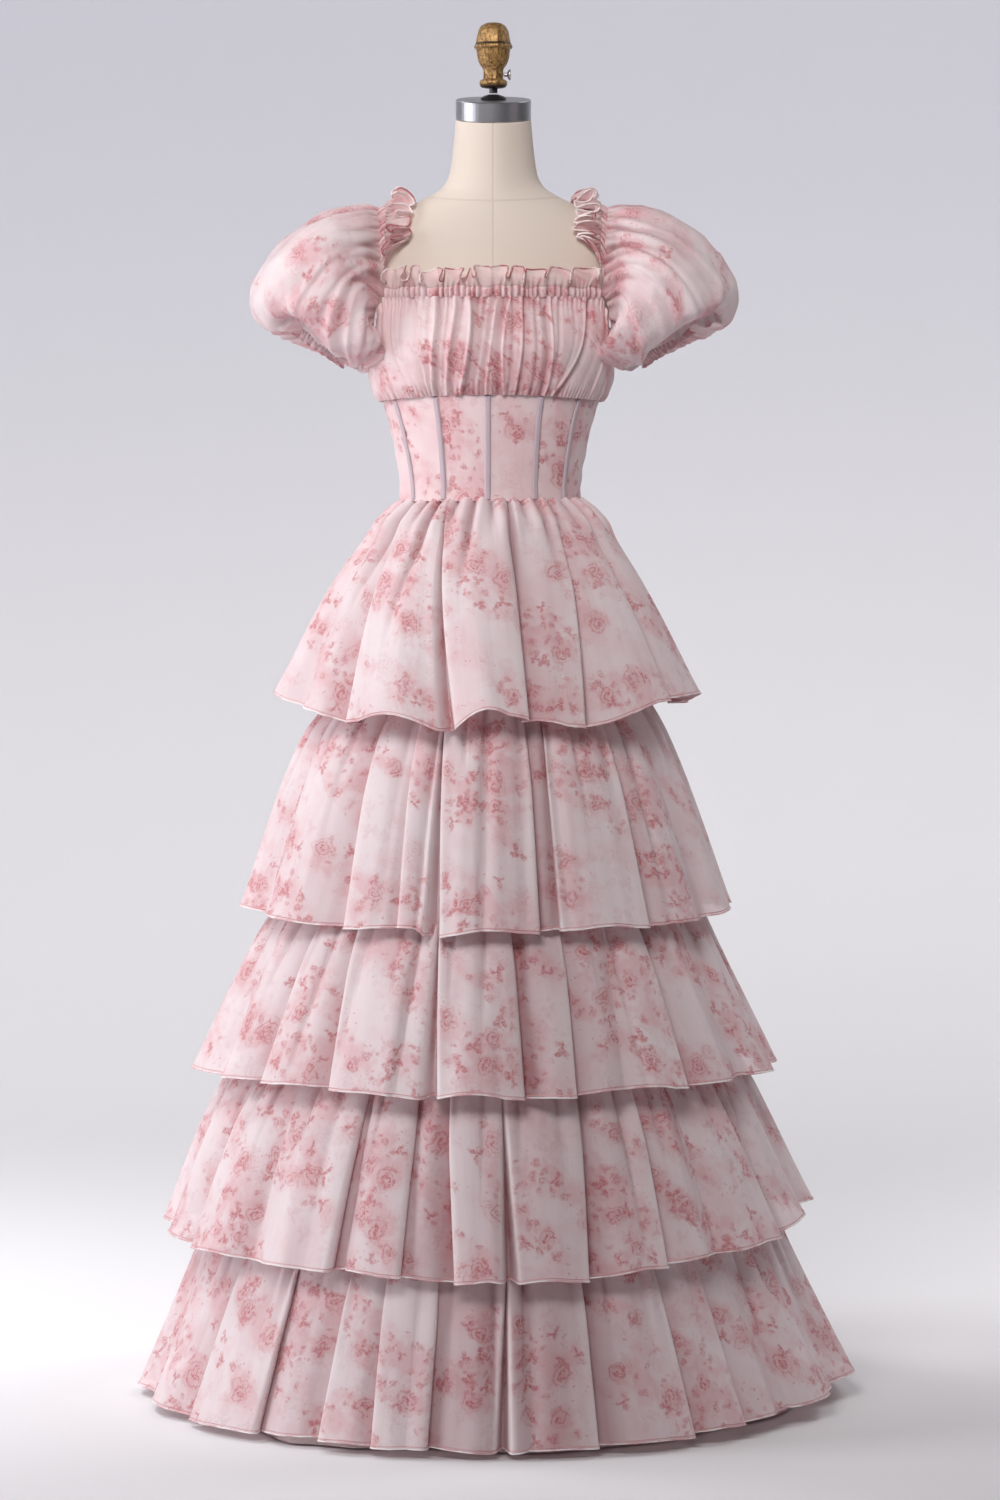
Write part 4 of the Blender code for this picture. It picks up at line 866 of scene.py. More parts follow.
def cloth_material(name, ground, wash, motif, offset=(0.0, 0.0), rough=0.62, sheen=0.25, through=0.0, weave=0.25,
                   strength=1.0, printed=True, lines=None, crinkle=0.22):
    """Woven cloth with the print; through is how much light passes straight
    through one layer."""
    mat = bpy.data.materials.new(name)
    mat.use_nodes = True
    t = Tree(mat.node_tree)
    t.nodes.clear()
    out = t.add("ShaderNodeOutputMaterial")
    bsdf = t.add("ShaderNodeBsdfPrincipled")
    uv = t.add("ShaderNodeUVMap", uv_map="UVMap").outputs[0]
    p = t.vec('ADD', uv, (offset[0], offset[1], 0.0))
    mm = t.vec('SCALE', p, scale=1000.0)
    x, y, z = t.split(mm)
    streak = t.noise(t.join(t.math('MULTIPLY', x, 0.11), t.math('MULTIPLY', y, 0.008)), 1.0, 3.0, 0.65)
    tone = t.math('ADD', 0.955, t.math('MULTIPLY', streak, 0.09))
    if printed:
        gr = t.add("ShaderNodeGroup", node_tree=PRINT)
        t.links.new(p, gr.inputs[0])
        col = t.mix(t.math('MULTIPLY', gr.outputs[1], 1.0, clamp=True), ground, wash)
        col = t.mix(t.math('MULTIPLY', gr.outputs[0], strength, clamp=True), col, motif)
        # the under layer of cloth shows its own motifs faintly through
        gr2 = t.add("ShaderNodeGroup", node_tree=PRINT)
        t.links.new(t.vec('ADD', p, (0.317, 0.143, 0.0)), gr2.inputs[0])
        col = t.mix(t.math('MULTIPLY', gr2.outputs[0], 0.20 * strength, clamp=True), col, motif)
    else:
        blotch = t.noise(mm, 0.02, 2.0, 0.5)
        col = t.mix(blotch, ground, wash)
    # cloth lying in several layers in narrow folds reads denser, and the folds' slits and recesses get painted shade:
    # the colour is multiplied towards a deep pink-brown there
    layers_and_fold_shade = t.add("ShaderNodeAttribute", attribute_name="layers_and_fold_shade").outputs[2]
    layered_fold_shade = t.add("ShaderNodeMix", data_type='RGBA', blend_type='MULTIPLY')
    t.put(layered_fold_shade.inputs[0], t.math('MULTIPLY', layers_and_fold_shade, 0.9, clamp=True))
    t.put(layered_fold_shade.inputs[6], col)
    t.put(layered_fold_shade.inputs[7], (0.52, 0.36, 0.37, 1.0))
    col = layered_fold_shade.outputs[2]
    # painted highlight: the crisp fold edges are lightened towards near white
    painted_crest_highlight = t.add("ShaderNodeAttribute", attribute_name="painted_crest_highlight").outputs[2]
    col = t.mix(t.math('MULTIPLY', painted_crest_highlight, 0.62, clamp=True), col, (1.0, 0.93, 0.93, 1.0))
    shade = t.add("ShaderNodeHueSaturation")
    t.put(shade.inputs["Value"], tone)
    t.put(shade.inputs["Color"], col)
    t.links.new(shade.outputs[0], bsdf.inputs["Base Color"])
    # threads 0.45 mm apart each way, and the cloth's faint lengthways crinkle
    wx = t.math('SINE', t.math('MULTIPLY', x, 13.96))
    wy = t.math('SINE', t.math('MULTIPLY', y, 13.96))
    threads = t.math('MULTIPLY', wx, wy)
    height = t.math('ADD', t.math('MULTIPLY', threads, 0.00004 * weave), t.math('MULTIPLY', streak, 0.0022 * crinkle))
    bump = t.add("ShaderNodeBump")
    bump.inputs["Strength"].default_value = 0.8
    bump.inputs["Distance"].default_value = 1.0
    t.links.new(height, bump.inputs["Height"])
    t.links.new(bump.outputs[0], bsdf.inputs["Normal"])
    bsdf.inputs["Roughness"].default_value = rough
    bsdf.inputs["Specular IOR Level"].default_value = 0.28
    bsdf.inputs["Sheen Weight"].default_value = sheen
    bsdf.inputs["Sheen Roughness"].default_value = 0.38
    bsdf.inputs["Sheen Tint"].default_value = (1.0, 0.93, 0.94, 1.0)
    if through > 0:
        clear = t.add("ShaderNodeBsdfTransparent")
        clear.inputs["Color"].default_value = (1.0, 0.86, 0.87, 1.0)
        both = t.add("ShaderNodeMixShader")
        # the motifs and the seam ends are denser than the bare ground
        open_part = t.math('MULTIPLY', t.math('SUBTRACT', 1.0, t.math('MULTIPLY', gr.outputs[0] if printed else streak, 0.55)), through)
        t.links.new(open_part, both.inputs[0])
        t.links.new(bsdf.outputs[0], both.inputs[1])
        t.links.new(clear.outputs[0], both.inputs[2])
        t.links.new(both.outputs[0], out.inputs[0])
    else:
        t.links.new(bsdf.outputs[0], out.inputs[0])
    return mat


def hem_material(name, light, dark):
    """Rolled hem: tight whipped thread, light with darker stretches."""
    mat = bpy.data.materials.new(name)
    mat.use_nodes = True
    t = Tree(mat.node_tree)
    bsdf = t.nodes["Principled BSDF"]
    co = t.add("ShaderNodeTexCoord").outputs["Object"]
    patch = t.noise(co, 28.0, 3.0, 0.6, dims='3D')
    col = t.mix(t.step(0.40, 0.60, patch), light, dark)
    t.links.new(col, bsdf.inputs["Base Color"])
    twist = t.noise(co, 900.0, 1.0, 0.5, dims='3D')
    bump = t.add("ShaderNodeBump")
    bump.inputs["Strength"].default_value = 0.5
    bump.inputs["Distance"].default_value = 0.0004
    t.links.new(twist, bump.inputs["Height"])
    t.links.new(bump.outputs[0], bsdf.inputs["Normal"])
    bsdf.inputs["Roughness"].default_value = 0.5
    bsdf.inputs["Sheen Weight"].default_value = 0.2
    return mat


# ================================================================== skirt tiers
HEM_ROWS = 48
STEEP_MM = 17.0           # how much cloth turns under at a crisp fold edge
TIER_UV = {1: (0.13, 0.02), 2: (2.31, 0.77), 3: (4.87, 1.41), 4: (7.53, 2.29), 5: (10.9, 3.13)}


def face_samples(width, start, end):
    """Positions across one face, closer together where the cloth turns."""
    steep = STEEP_MM * 0.001 / width
    steep = min(max(steep, 0.08), 0.34)
    a = np.linspace(0, 1, 10 if start == "steep" else 6, endpoint=False) * (steep if start == "steep" else 0.14)
    tail = steep if end == "steep" else 0.14
    c = 1 - tail + tail * np.linspace(0, 1, 11 if end == "steep" else 7)[:-1]
    lo, hi = (steep if start == "steep" else 0.14), 1 - tail
    m = max(6, int(width / 0.0050))
    b = np.linspace(lo, hi, m + 1)[:-1]
    return np.concatenate([a, b, c]), steep


# the pinches at the waist seam, one row a pinch: how far round it is from the
# centre front, how deep it cuts (1 is the deepest) and how far down it runs
WAIST_PINCHES = (
    # deg,  deep, long_mm
    (-90.0, 0.70, 46.0),
    (-73.0, 0.80, 34.0),
    (-56.0, 1.00, 78.0),
    (-44.0, 0.55, 26.0),
    (-35.0, 1.00, 92.0),
    (-22.5, 0.60, 28.0),
    (-11.6, 1.00, 56.0),
    (-1.0, 0.50, 22.0),
    (9.2, 1.00, 110.0),
    (17.0, 0.45, 20.0),
    (27.5, 1.00, 54.0),
    (36.0, 0.70, 30.0),
    (47.0, 0.50, 24.0),
    (57.5, 1.00, 84.0),
    (74.0, 0.80, 36.0),
    (91.0, 0.75, 50.0),
    (106.0, 1.00, 84.0),
    (117.0, 0.55, 26.0),
    (129.0, 1.00, 60.0),
    (143.0, 0.60, 30.0),
    (154.0, 0.95, 96.0),
    (166.0, 0.60, 26.0),
    (180.0, 1.00, 120.0),
    (193.0, 0.60, 24.0),
    (207.0, 0.95, 70.0),
    (217.0, 0.55, 30.0),
    (231.0, 1.00, 92.0),
    (246.0, 0.65, 30.0),
    (258.0, 1.00, 66.0),
)


def gather_valleys(seed, count):
    rnd = random.Random(seed)
    out = []
    for k in range(count):
        out.append(((k + rnd.uniform(-0.40, 0.40)) * 360.0 / count, rnd.uniform(0.25, 1.0) ** 1.4,
                    rnd.uniform(0.5, 1.3), rnd.uniform(-1.0, 1.0)))
    return out


def tier_grid(tier):
    """Points of a tier (rows down, columns round), its cloth measures, and the painted shade and painted highlight of
    its folds.
    """
    folds = FOLDS[tier]
    n = len(folds)
    levels = TIER_LEVELS[tier]
    z_top, z_hem = levels[0][0], levels[-1][0]
    hem = [hermite(levels, z_hem, k) for k in range(1, 6)]
    r_hem = 0.25 * (hem[0] + hem[1] + hem[2] + hem[3])
    faces = []
    for f in range(n):
        here, after = folds[f], folds[(f + 1) % n]
        turn = 360.0 if f == n - 1 else 0.0
        start = {"L": "slow", "R": "steep", "O": "steep", "S": "soft"}[here[2]]
        end = {"L": "steep", "R": "slow", "O": "steep", "S": "soft"}[after[2]]
        width = radians(after[1] + turn - here[1]) * r_hem
        s, steep = face_samples(width, start, end)
        faces.append((here, after, turn, start, end, width, s, steep))
    ts = np.linspace(0.0, 1.0, HEM_ROWS)
    tall = z_top - z_hem
    if tier == 1:
        ts = ts ** 1.45
    ts[-2] = 1.0 - 0.0026 / tall
    ts[-3] = 1.0 - 0.0060 / tall
    rnd = random.Random(100 + tier)
    waves = [(rnd.uniform(0.020, 0.030), rnd.uniform(0, 6.28), 0.35), (rnd.uniform(0.034, 0.048), rnd.uniform(0, 6.28), 0.55),
             (rnd.uniform(0.065, 0.095), rnd.uniform(0, 6.28), 0.9)]
    tilt = [rnd.uniform(-1.0, 1.0) for _ in range(n)]
    valleys = gather_valleys(7 * tier, {1: 27, 2: 38, 3: 44, 4: 50, 5: 54}[tier])
    count = len(valleys)
    starts = np.array([v[0] for v in valleys] + [valleys[0][0] + 360.0])
    deeps = np.array([0.35 + 0.65 * v[1] for v in valleys])
    lives = np.array([(0.15 + 0.24 * v[2]) * (2.9 if v[3] > 0.25 else 1.0) for v in valleys])
    if tier == 1:
        valleys = WAIST_PINCHES
        count = len(valleys)
        starts = np.array([v[0] for v in valleys] + [valleys[0][0] + 360.0])
        deeps = np.array([v[1] for v in valleys])
        lives = np.array([0.001 * v[2] / tall for v in valleys])
    # with the points go each point's painted shade in the folds and painted highlight on the fold crests
    P, tier_layers_and_shade, ridge = [], [], []
    for t in ts:
        z0 = z_top + (z_hem - z_top) * t
        left, right, front, back, fold = [hermite(levels, z0, k) for k in range(1, 6)]
        mean_r = 0.25 * (left + right + front + back)
        ease = t ** 0.75
        row, prow, crow = [], [], []
        for f, (here, after, turn, start, end, width, s, steep) in enumerate(faces):
            v0 = here[0] + (here[1] - here[0]) * ease
            v1 = after[0] + turn + (after[1] - after[0]) * ease
            span = v1 - v0
            ws = steep * radians(span) * mean_r
            depth = np.zeros_like(s)
            shift = np.zeros_like(s)
            painted_crest_highlight = np.zeros_like(s)
            under = np.zeros_like(s)
            for side, kind, rowf in ((0, start, here), (1, end, after)):
                x = s if side == 0 else 1 - s
                sign = -1.0 if side == 0 else 1.0
                d = rowf[3] * fold
                if kind == "steep":
                    q = x / steep
                    depth += d * (1 - smooth(0.0, 0.62, q)) - 0.0016 * t * bell(q - 0.80, 0.42)
                    if rowf[2] == "O":
                        reach = ws * 0.5 - (0.0012 + 0.0075 * t ** 1.3)
                    else:
                        reach = ws * 0.5 + (0.0015 + 0.0045 * smooth(0.0, 0.45, t))
                    # painted highlight along the crisp edge where the fold turns
                    painted_crest_highlight = np.maximum(painted_crest_highlight, np.exp(-((q - 0.52) / 0.20) ** 2) * smooth(0.05, 0.45, t) * np.clip(rowf[3], 0, 1))
                    shift += sign * reach * np.where(q < 1, np.sin(pi * np.clip(q, 0, 1)), 0.0)
                elif kind == "slow":
                    depth += d * (1 - np.sin(0.5 * pi * np.clip(x / 0.80, 0, 1))) ** 1.2
                    # painted shade on the face that lies under the neighbouring fold's lap
                    under = np.maximum(under, 0.55 * np.exp(-x * width / 0.020) * smooth(0.02, 0.30, t) * np.clip(rowf[3], 0, 1))
                else:
                    depth += d * np.cos(0.5 * pi * np.clip(x / 0.44, 0, 1)) ** 2.4
            depth -= here[4] * 0.001 * smooth(0, 0.3, s) * smooth(0, 0.3, 1 - s) * t
            # soft ripples of the hanging cloth
            u = (np.cumsum(np.full(n, 0.0))[0] + s * width + f * 0.113)
            for lam, ph, amp in waves:
                depth += 0.001 * amp * (0.25 + 0.75 * t) * np.sin(2 * pi * (u + 0.04 * t * tilt[f]) / lam + ph + 1.7 * f)
            sunk = depth.copy()
            deg = v0 + span * s + np.degrees(shift / mean_r)
            # gathers at the seam: rounded tubes of cloth between sharp valleys,
            # most closing up soon, a few running on down the tier
            at = (deg - valleys[0][0]) % 360.0 + valleys[0][0]
            i1 = np.clip(np.searchsorted(starts, at, side="right"), 1, len(starts) - 1)
            lo, hi = starts[i1 - 1], starts[i1]
            part = np.clip((at - lo) / (hi - lo), 0, 1)
            near, far = (i1 - 1) % count, i1 % count
            l0 = deeps[near] * np.exp(-(t / lives[near]) ** 1.6)
            l1 = deeps[far] * np.exp(-(t / lives[far]) ** 1.6)
            side = smooth(0.15, 0.85, part)
            hold = l0 * (1 - side) + l1 * side
            round_ = np.sin(pi * part) ** 0.50
            narrow = np.minimum(np.radians(hi - lo) * mean_r / 0.030, 1.6)
            lobes = hold * (1 - round_)
            scale = (0.0260 if tier == 1 else 0.0140) * (0.50 + 0.50 * smooth(0.0, 0.04, t)) * narrow
            depth += lobes * scale
            if tier == 1:
                # the cloth springs out in rounded lobes just below the seam
                depth -= (0.0045 + 0.0075 * hold * round_) * math.exp(-((t - 0.075) / 0.095) ** 2) * smooth(0.0, 0.035, t)
            # painted shade in the slits between the gathers, fading down the tier
            if tier == 1:
                layers_and_shade_here = np.clip(1.48 - 1.6 * round_, 0, 1) ** 1.1 * np.clip(2.2 * hold, 0, 1) * math.exp(-(t / 0.34) ** 1.6)
            else:
                layers_and_shade_here = np.clip(1.35 - 1.7 * round_, 0, 1) ** 1.3 * np.clip(1.8 * hold, 0, 1) * math.exp(-(t / 0.30) ** 1.4)
            # the faces under the laps and the deep valleys get painted shade, more of it down the centre front of the
            # lower tiers; the layers of cloth lying there read denser too
            middle = np.exp(-(((deg + 174.0) % 360.0 - 180.0) / 15.0) ** 2)
            more, base = ((0.2, 0.0), (0.5, 0.11), (1.0, 0.19), (1.4, 0.26), (1.8, 0.46))[tier - 1]
            layers_and_shade_here = np.clip(layers_and_shade_here + (1.0 + more * middle) * (under + 0.36 * np.clip(sunk / 0.020, 0, 1)) + base * middle, 0, 0.95)
            # the hanging faces belly out between their folds
            depth -= (0.0030 + 0.040 * width) * t ** 0.8 * np.sin(pi * s) ** 0.9
            a = np.radians(deg)
            sa, ca = np.sin(a), np.cos(a)
            half = np.where(sa > 0, right, left)
            width_m = 0.5 * (left + right)
            half = width_m + (half - width_m) * sa ** 2
            b = np.where(ca > 0, front, back)
            b = 0.5 * (front + back) + (b - 0.5 * (front + back)) * ca ** 2
            nx, ny = sa / half, -ca / b
            ln = np.sqrt(nx * nx + ny * ny)
            px = half * sa - depth * nx / ln
            py = -b * ca - depth * ny / ln
            drop = here[5] + (after[5] - here[5]) * smooth(0, 1, s) - here[6] * np.sin(pi * s) ** 1.2
            pz = z0 - 0.001 * drop * t * t + 0.10 * np.maximum(depth, 0.0) * t * t
            if tier == 1:
                pz = pz + 0.0060 * np.clip(1.4 * hold, 0, 1) * round_ * math.exp(-(t / 0.030) ** 2)
            row.append(np.stack([px, py, pz], 1))
            prow.append(layers_and_shade_here)
            crow.append(painted_crest_highlight)
        P.append(np.concatenate(row))
        tier_layers_and_shade.append(np.concatenate(prow))
        ridge.append(np.concatenate(crow))
    P = np.array(P)
    # cloth measures: each face keeps its own undistorted stretch of print
    counts = [len(fc[6]) for fc in faces]
    cols = P.shape[1]
    closed = np.concatenate([P, P[:, :1]], axis=1)
    seg = np.linalg.norm(np.diff(closed, axis=1), axis=2)
    ua = np.zeros((len(ts), cols, 2))
    ub = np.zeros((len(ts), cols, 2))
    j = 0
    total = 0.0
    du, dv = TIER_UV[tier]
    for f, m in enumerate(counts):
        run = np.concatenate([np.zeros((len(ts), 1)), np.cumsum(seg[:, j:j + m], axis=1)], axis=1)
        mid = run[:, m // 2][:, None]
        centre = total + run[-1, m // 2]
        local = run - mid + centre
        ua[:, j:j + m, 0] = local[:, :-1] + du
        ub[:, j:j + m, 0] = local[:, 1:] + du
        total += run[-1, -1]
        j += m
    down = arc_along(P, 0)
    down = down.mean(axis=1)[:, None] + 0.35 * (down - down.mean(axis=1)[:, None])
    ua[:, :, 1] = down + dv
    ub[:, :, 1] = np.concatenate([down[:, 1:], down[:, :1]], axis=1) + dv
    hem_len = float(seg[-1].sum())
    drop_len = float(arc_along(P, 0)[-1].mean())
    return P, ua, ub, hem_len, drop_len, np.array(tier_layers_and_shade), np.array(ridge)


TIER_BODY = dict(ground=rgb(249, 236, 238), wash=rgb(243, 209, 212), motif=rgb(206, 122, 127))
HEM = hem_material("rolled_hem", rgb(253, 245, 245), rgb(226, 176, 180))
STITCH = hem_material("hem_stitching", rgb(224, 172, 174), rgb(200, 138, 141))
LABEL = {}
for tier in (1, 2, 3, 4, 5):
    P, ua, ub, hem_len, drop_len, tier_layers_and_shade, ridge = tier_grid(tier)
    mat = cloth_material("tier_%d_organza" % tier, through=0.15, **TIER_BODY)
    ob = cloth_piece("skirt_tier_%d" % tier, P, True, ua, ub, [mat, HEM, STITCH], edge_rows=(HEM_ROWS - 1,), edge_radius=0.00095, sides=5, stitch_row=HEM_ROWS - 2, attrs={"layers_and_fold_shade": tier_layers_and_shade, "painted_crest_highlight": ridge})
    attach(ob, BODY)
    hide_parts("tier_%d" % tier)
    LABEL[ob.name] = (hem_len, drop_len, cloth_area(P, True))

# ---- lining
LAST_TIER = P
degs = np.arange(0, 360, 1.8)
ts = np.linspace(0, 1, 40)
P = np.array([[lining_point(d, t) for d in degs] for t in ts])
# its lower edge kicks out under the last tier in shallow waves, always
# staying inside that tier's folds
hem_deg = np.degrees(np.arctan2(LAST_TIER[..., 0], -LAST_TIER[..., 1])) % 360.0
hem_r = np.hypot(LAST_TIER[..., 0], LAST_TIER[..., 1])
for i, t in enumerate(ts):
    if t < 0.80:
        continue
    row = int(np.argmin(abs(LAST_TIER[:, :, 2].mean(axis=1) - P[i, :, 2].mean())))
    for j, d in enumerate(degs):
        off = (d + 180.0) % 360.0 - 180.0
        kick = min(1.0, exp(-((off + 31.0) / 16.0) ** 2) + 0.8 * exp(-((off - 11.0) / 11.0) ** 2) + 0.6 * exp(-((off - 150.0) / 22.0) ** 2))
        close = abs((hem_deg[row] - d + 180.0) % 360.0 - 180.0) < 2.6
        limit = float(hem_r[row][close].min()) - 0.0055
        r = float(np.hypot(P[i, j, 0], P[i, j, 1]))
        want = max(r, min(r + 0.034 * kick * smooth(0.82, 1.0, t), limit))
        P[i, j, :2] *= want / r
        P[i, j, 2] -= 0.0016 * kick * smooth(0.9, 1.0, t)
closed = np.concatenate([P, P[:, :1]], axis=1)
run = arc_along(closed, 1)
down = arc_along(closed, 0)
uv = np.stack([run, down], 2)
LINING_MAT = cloth_material("lining_satin", rgb(245, 232, 231), rgb(238, 222, 221), (0, 0, 0, 1), rough=0.55, sheen=0.15,
                            through=0.18, weave=0.3, printed=False, crinkle=0.3)
ob = cloth_piece("skirt_lining_cloth", P, True, uv[:, :-1], uv[:, 1:], [LINING_MAT, HEM], edge_rows=(len(ts) - 1,), edge_radius=0.0007)
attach(ob, BODY)
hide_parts("skirt_lining")
lining_flat = (float(run[-1, -1]), float(down[-1].mean()))
lining_area = cloth_area(P, True)
LABEL[ob.name] = (*lining_flat, lining_area)


# ================================================================== corset
CORSET_LOOK = dict(ground=rgb(245, 222, 223), wash=rgb(239, 202, 205), motif=rgb(203, 115, 120))
CORSET_MAT = cloth_material("corset_cloth_backed", offset=(5.1, 9.3), rough=0.55, sheen=0.28, weave=0.5, crinkle=0.10, **CORSET_LOOK)
EDGE = hem_material("turned_edge", rgb(236, 205, 209), rgb(198, 128, 138))
u_start = 0.0
for index, (name, lt, lb, rt, rb) in enumerate(PANELS):
    cols, rowsn = max(14, int((rt - lt) * 1.1)), 34
    P = np.zeros((rowsn, cols + 1, 3))
    for i in range(rowsn):
        k = 1 - i / (rowsn - 1)
        for j in range(cols + 1):
            f = j / cols
            zmid = WAIST_Z + (UNDERBUST_SIDE_Z - WAIST_Z) * k
            g = gap_deg(SEAM / 2, zmid)
            left = edge_deg(lt, lb, zmid) + g
            right = edge_deg(rt, rb, zmid) - g
            deg = left + (right - left) * f
            top = underbust_z(deg) - SEAM
            z = WAIST_Z + SEAM + (top - WAIST_Z - SEAM) * k
            # the panel swells a little between its seams and dips into them
            edge = min(f, 1 - f) * (right - left) * 0.0021
            dip = 0.0007 * exp(-(edge / 0.0016) ** 2)
            pull = 0.00045 * sin(9.0 * f + 21.0 * k + index * 1.7) * sin(pi * k) + 0.0003 * sin(31.0 * k + 7.0 * f + index)
            P[i, j] = body_point(deg, z, 0.0001 - dip + pull)
    run = arc_along(P, 1)
    down = arc_along(P, 0)
    uv = np.stack([run + u_start + index * 0.017, down], 2)
    u_start += float(run[0, -1])
    ob = cloth_piece(name + "_cloth", P, False, uv[:, :-1], uv[:, 1:], [CORSET_MAT, EDGE])
    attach(ob, BODY)
    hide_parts(name)
    w, l, ar = float(run.max()), float(down[-1].mean()), cloth_area(P, False)
    LABEL[ob.name] = (w, l, ar)


def tape_material(name, colour, edge):
    mat = bpy.data.materials.new(name)
    mat.use_nodes = True
    t = Tree(mat.node_tree)
    bsdf = t.nodes["Principled BSDF"]
    uv = t.add("ShaderNodeUVMap", uv_map="UVMap").outputs[0]
    x, y, z = t.split(t.vec('SCALE', uv, scale=1000.0))
    # stitch rows 1 mm in from both edges of the 8 mm tape
    off = t.math('ABSOLUTE', t.math('SUBTRACT', x, 4.0))
    line = t.math('MULTIPLY', t.step(2.55, 2.8, off), t.math('SUBTRACT', 1.0, t.step(3.05, 3.3, off)))
    dash = t.step(-0.35, 0.1, t.math('SINE', t.math('MULTIPLY', y, 2.9)))
    stitch = t.math('MULTIPLY', line, dash)
    grain = t.noise(t.join(t.math('MULTIPLY', x, 1.9), t.math('MULTIPLY', y, 0.05)), 1.0, 2.0, 0.5)
    col = t.mix(t.math('MULTIPLY', grain, 0.5), colour, edge)
    col = t.mix(t.math('MULTIPLY', stitch, 0.35), col, edge)
    t.links.new(col, bsdf.inputs["Base Color"])
    height = t.math('ADD', t.math('MULTIPLY', stitch, -0.00025), t.math('MULTIPLY', t.math('SINE', t.math('MULTIPLY', y, 17.9)), 0.000015))
    bump = t.add("ShaderNodeBump")
    bump.inputs["Strength"].default_value = 0.8
    bump.inputs["Distance"].default_value = 1.0
    t.links.new(height, bump.inputs["Height"])
    t.links.new(bump.outputs[0], bsdf.inputs["Normal"])
    bsdf.inputs["Roughness"].default_value = 0.36
    bsdf.inputs["Specular IOR Level"].default_value = 0.5
    bsdf.inputs["Sheen Weight"].default_value = 0.15
    return mat


TAPE = tape_material("boning_satin", rgb(200, 181, 190), rgb(226, 211, 219))
for name, top, bottom in BONES:
    rowsn, cols = 36, 11
    P = np.zeros((rowsn, cols, 3))
    for i in range(rowsn):
        f = 1 - i / (rowsn - 1)
        deg0 = bottom + (top - bottom) * f
        ztop = underbust_z(deg0) - 0.0022
        zlow = WAIST_Z + 0.0030
        z = zlow + (ztop - zlow) * f
        w = gap_deg(BONE_WIDTH * 0.42, z)
        for j in range(cols):
            e = -1 + 2 * j / (cols - 1)
            lift = 0.0009 * (1 - abs(e) ** 4) - 0.0009 * abs(e) ** 8
            P[i, j] = body_point(deg0 + w * e, z, 0.0016 + lift)
    uv = np.stack([np.broadcast_to(np.linspace(0, BONE_WIDTH, cols), (rowsn, cols)), arc_along(P, 0)], 2)
    ob = cloth_piece(name + "_tape", P, False, uv[:, :-1], uv[:, 1:], [TAPE])
    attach(ob, BODY)
    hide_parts(name)
    round(float(arc_along(P, 0)[-1].mean()), 3)
    LABEL[ob.name] = (0.010, float(arc_along(P, 0)[-1].mean()), cloth_area(P, False))

# ================================================================== bust
# folds of the gathered bust panel, one row a fold: where it stands at the
# top and at the underbust seam, half width, depth, side of the crisp edge
# (-1 viewer's left, 1 viewer's right, 0 soft) and how far it bows
BUST_FOLDS = (
    # top,   low,   half_mm, deep_mm, edge, bow_deg
    (-86.0, -84.0, 5.0, 3.0, 0, 0.0),
    (-78.0, -73.0, 4.5, 3.0, -1, 1.0),
    (-70.0, -62.0, 4.0, 3.0, 1, -1.0),
    (-62.0, -57.0, 3.5, 2.2, 0, 0.0),
    (-53.0, -42.0, 3.2, 3.6, 1, -3.5),
    (-46.0, -36.0, 3.0, 2.6, 0, -4.0),
    (-38.5, -33.5, 3.6, 3.0, 1, 2.0),
    (-31.0, -31.0, 3.0, 2.0, 0, 2.5),
    (-25.0, -28.5, 3.2, 4.6, -1, 2.0),
    (-19.5, -24.0, 2.6, 2.2, 0, 1.0),
    (-15.0, -21.0, 3.0, 3.6, -1, 1.0),
    (-8.5, -13.5, 3.4, 5.4, -1, 2.5),
    (-3.0, -9.0, 2.6, 2.4, 0, 0.5),
    (1.0, -4.0, 2.8, 3.0, 1, 0.0),
    (6.8, 4.8, 3.2, 4.4, 1, -2.2),
    (10.0, 9.0, 2.4, 2.4, 0, 0.0),
    (14.5, 13.0, 2.8, 3.8, -1, 1.0),
    (19.5, 20.5, 2.8, 2.6, 0, 0.5),
    (25.2, 26.4, 3.0, 5.0, 1, 0.2),
    (32.0, 29.5, 2.6, 1.8, 0, 0.0),
    (40.0, 31.5, 2.6, 2.0, 0, 3.0),
    (48.5, 33.5, 3.4, 4.0, -1, 4.0),
    (57.0, 46.0, 5.0, 1.4, 0, 3.0),
    (64.0, 56.0, 4.0, 2.6, 1, 2.0),
    (72.0, 68.0, 6.0, 1.4, 0, 1.0),
    (76.0, 73.0, 4.5, 3.0, -1, 0.0),
    (85.0, 84.0, 5.0, 3.0, 0, 0.0),
)


def back_folds(seed, d0, d1):
    rnd = random.Random(seed)
    out, d = [], d0 + 3.0
    while d < d1 - 2.0:
        out.append((d, d + rnd.uniform(-3.0, 3.0), rnd.uniform(2.6, 4.4), rnd.uniform(1.8, 4.6), rnd.choice((-1, 0, 1)), rnd.uniform(-2, 2)))
        d += rnd.uniform(5.0, 8.6)
    return out


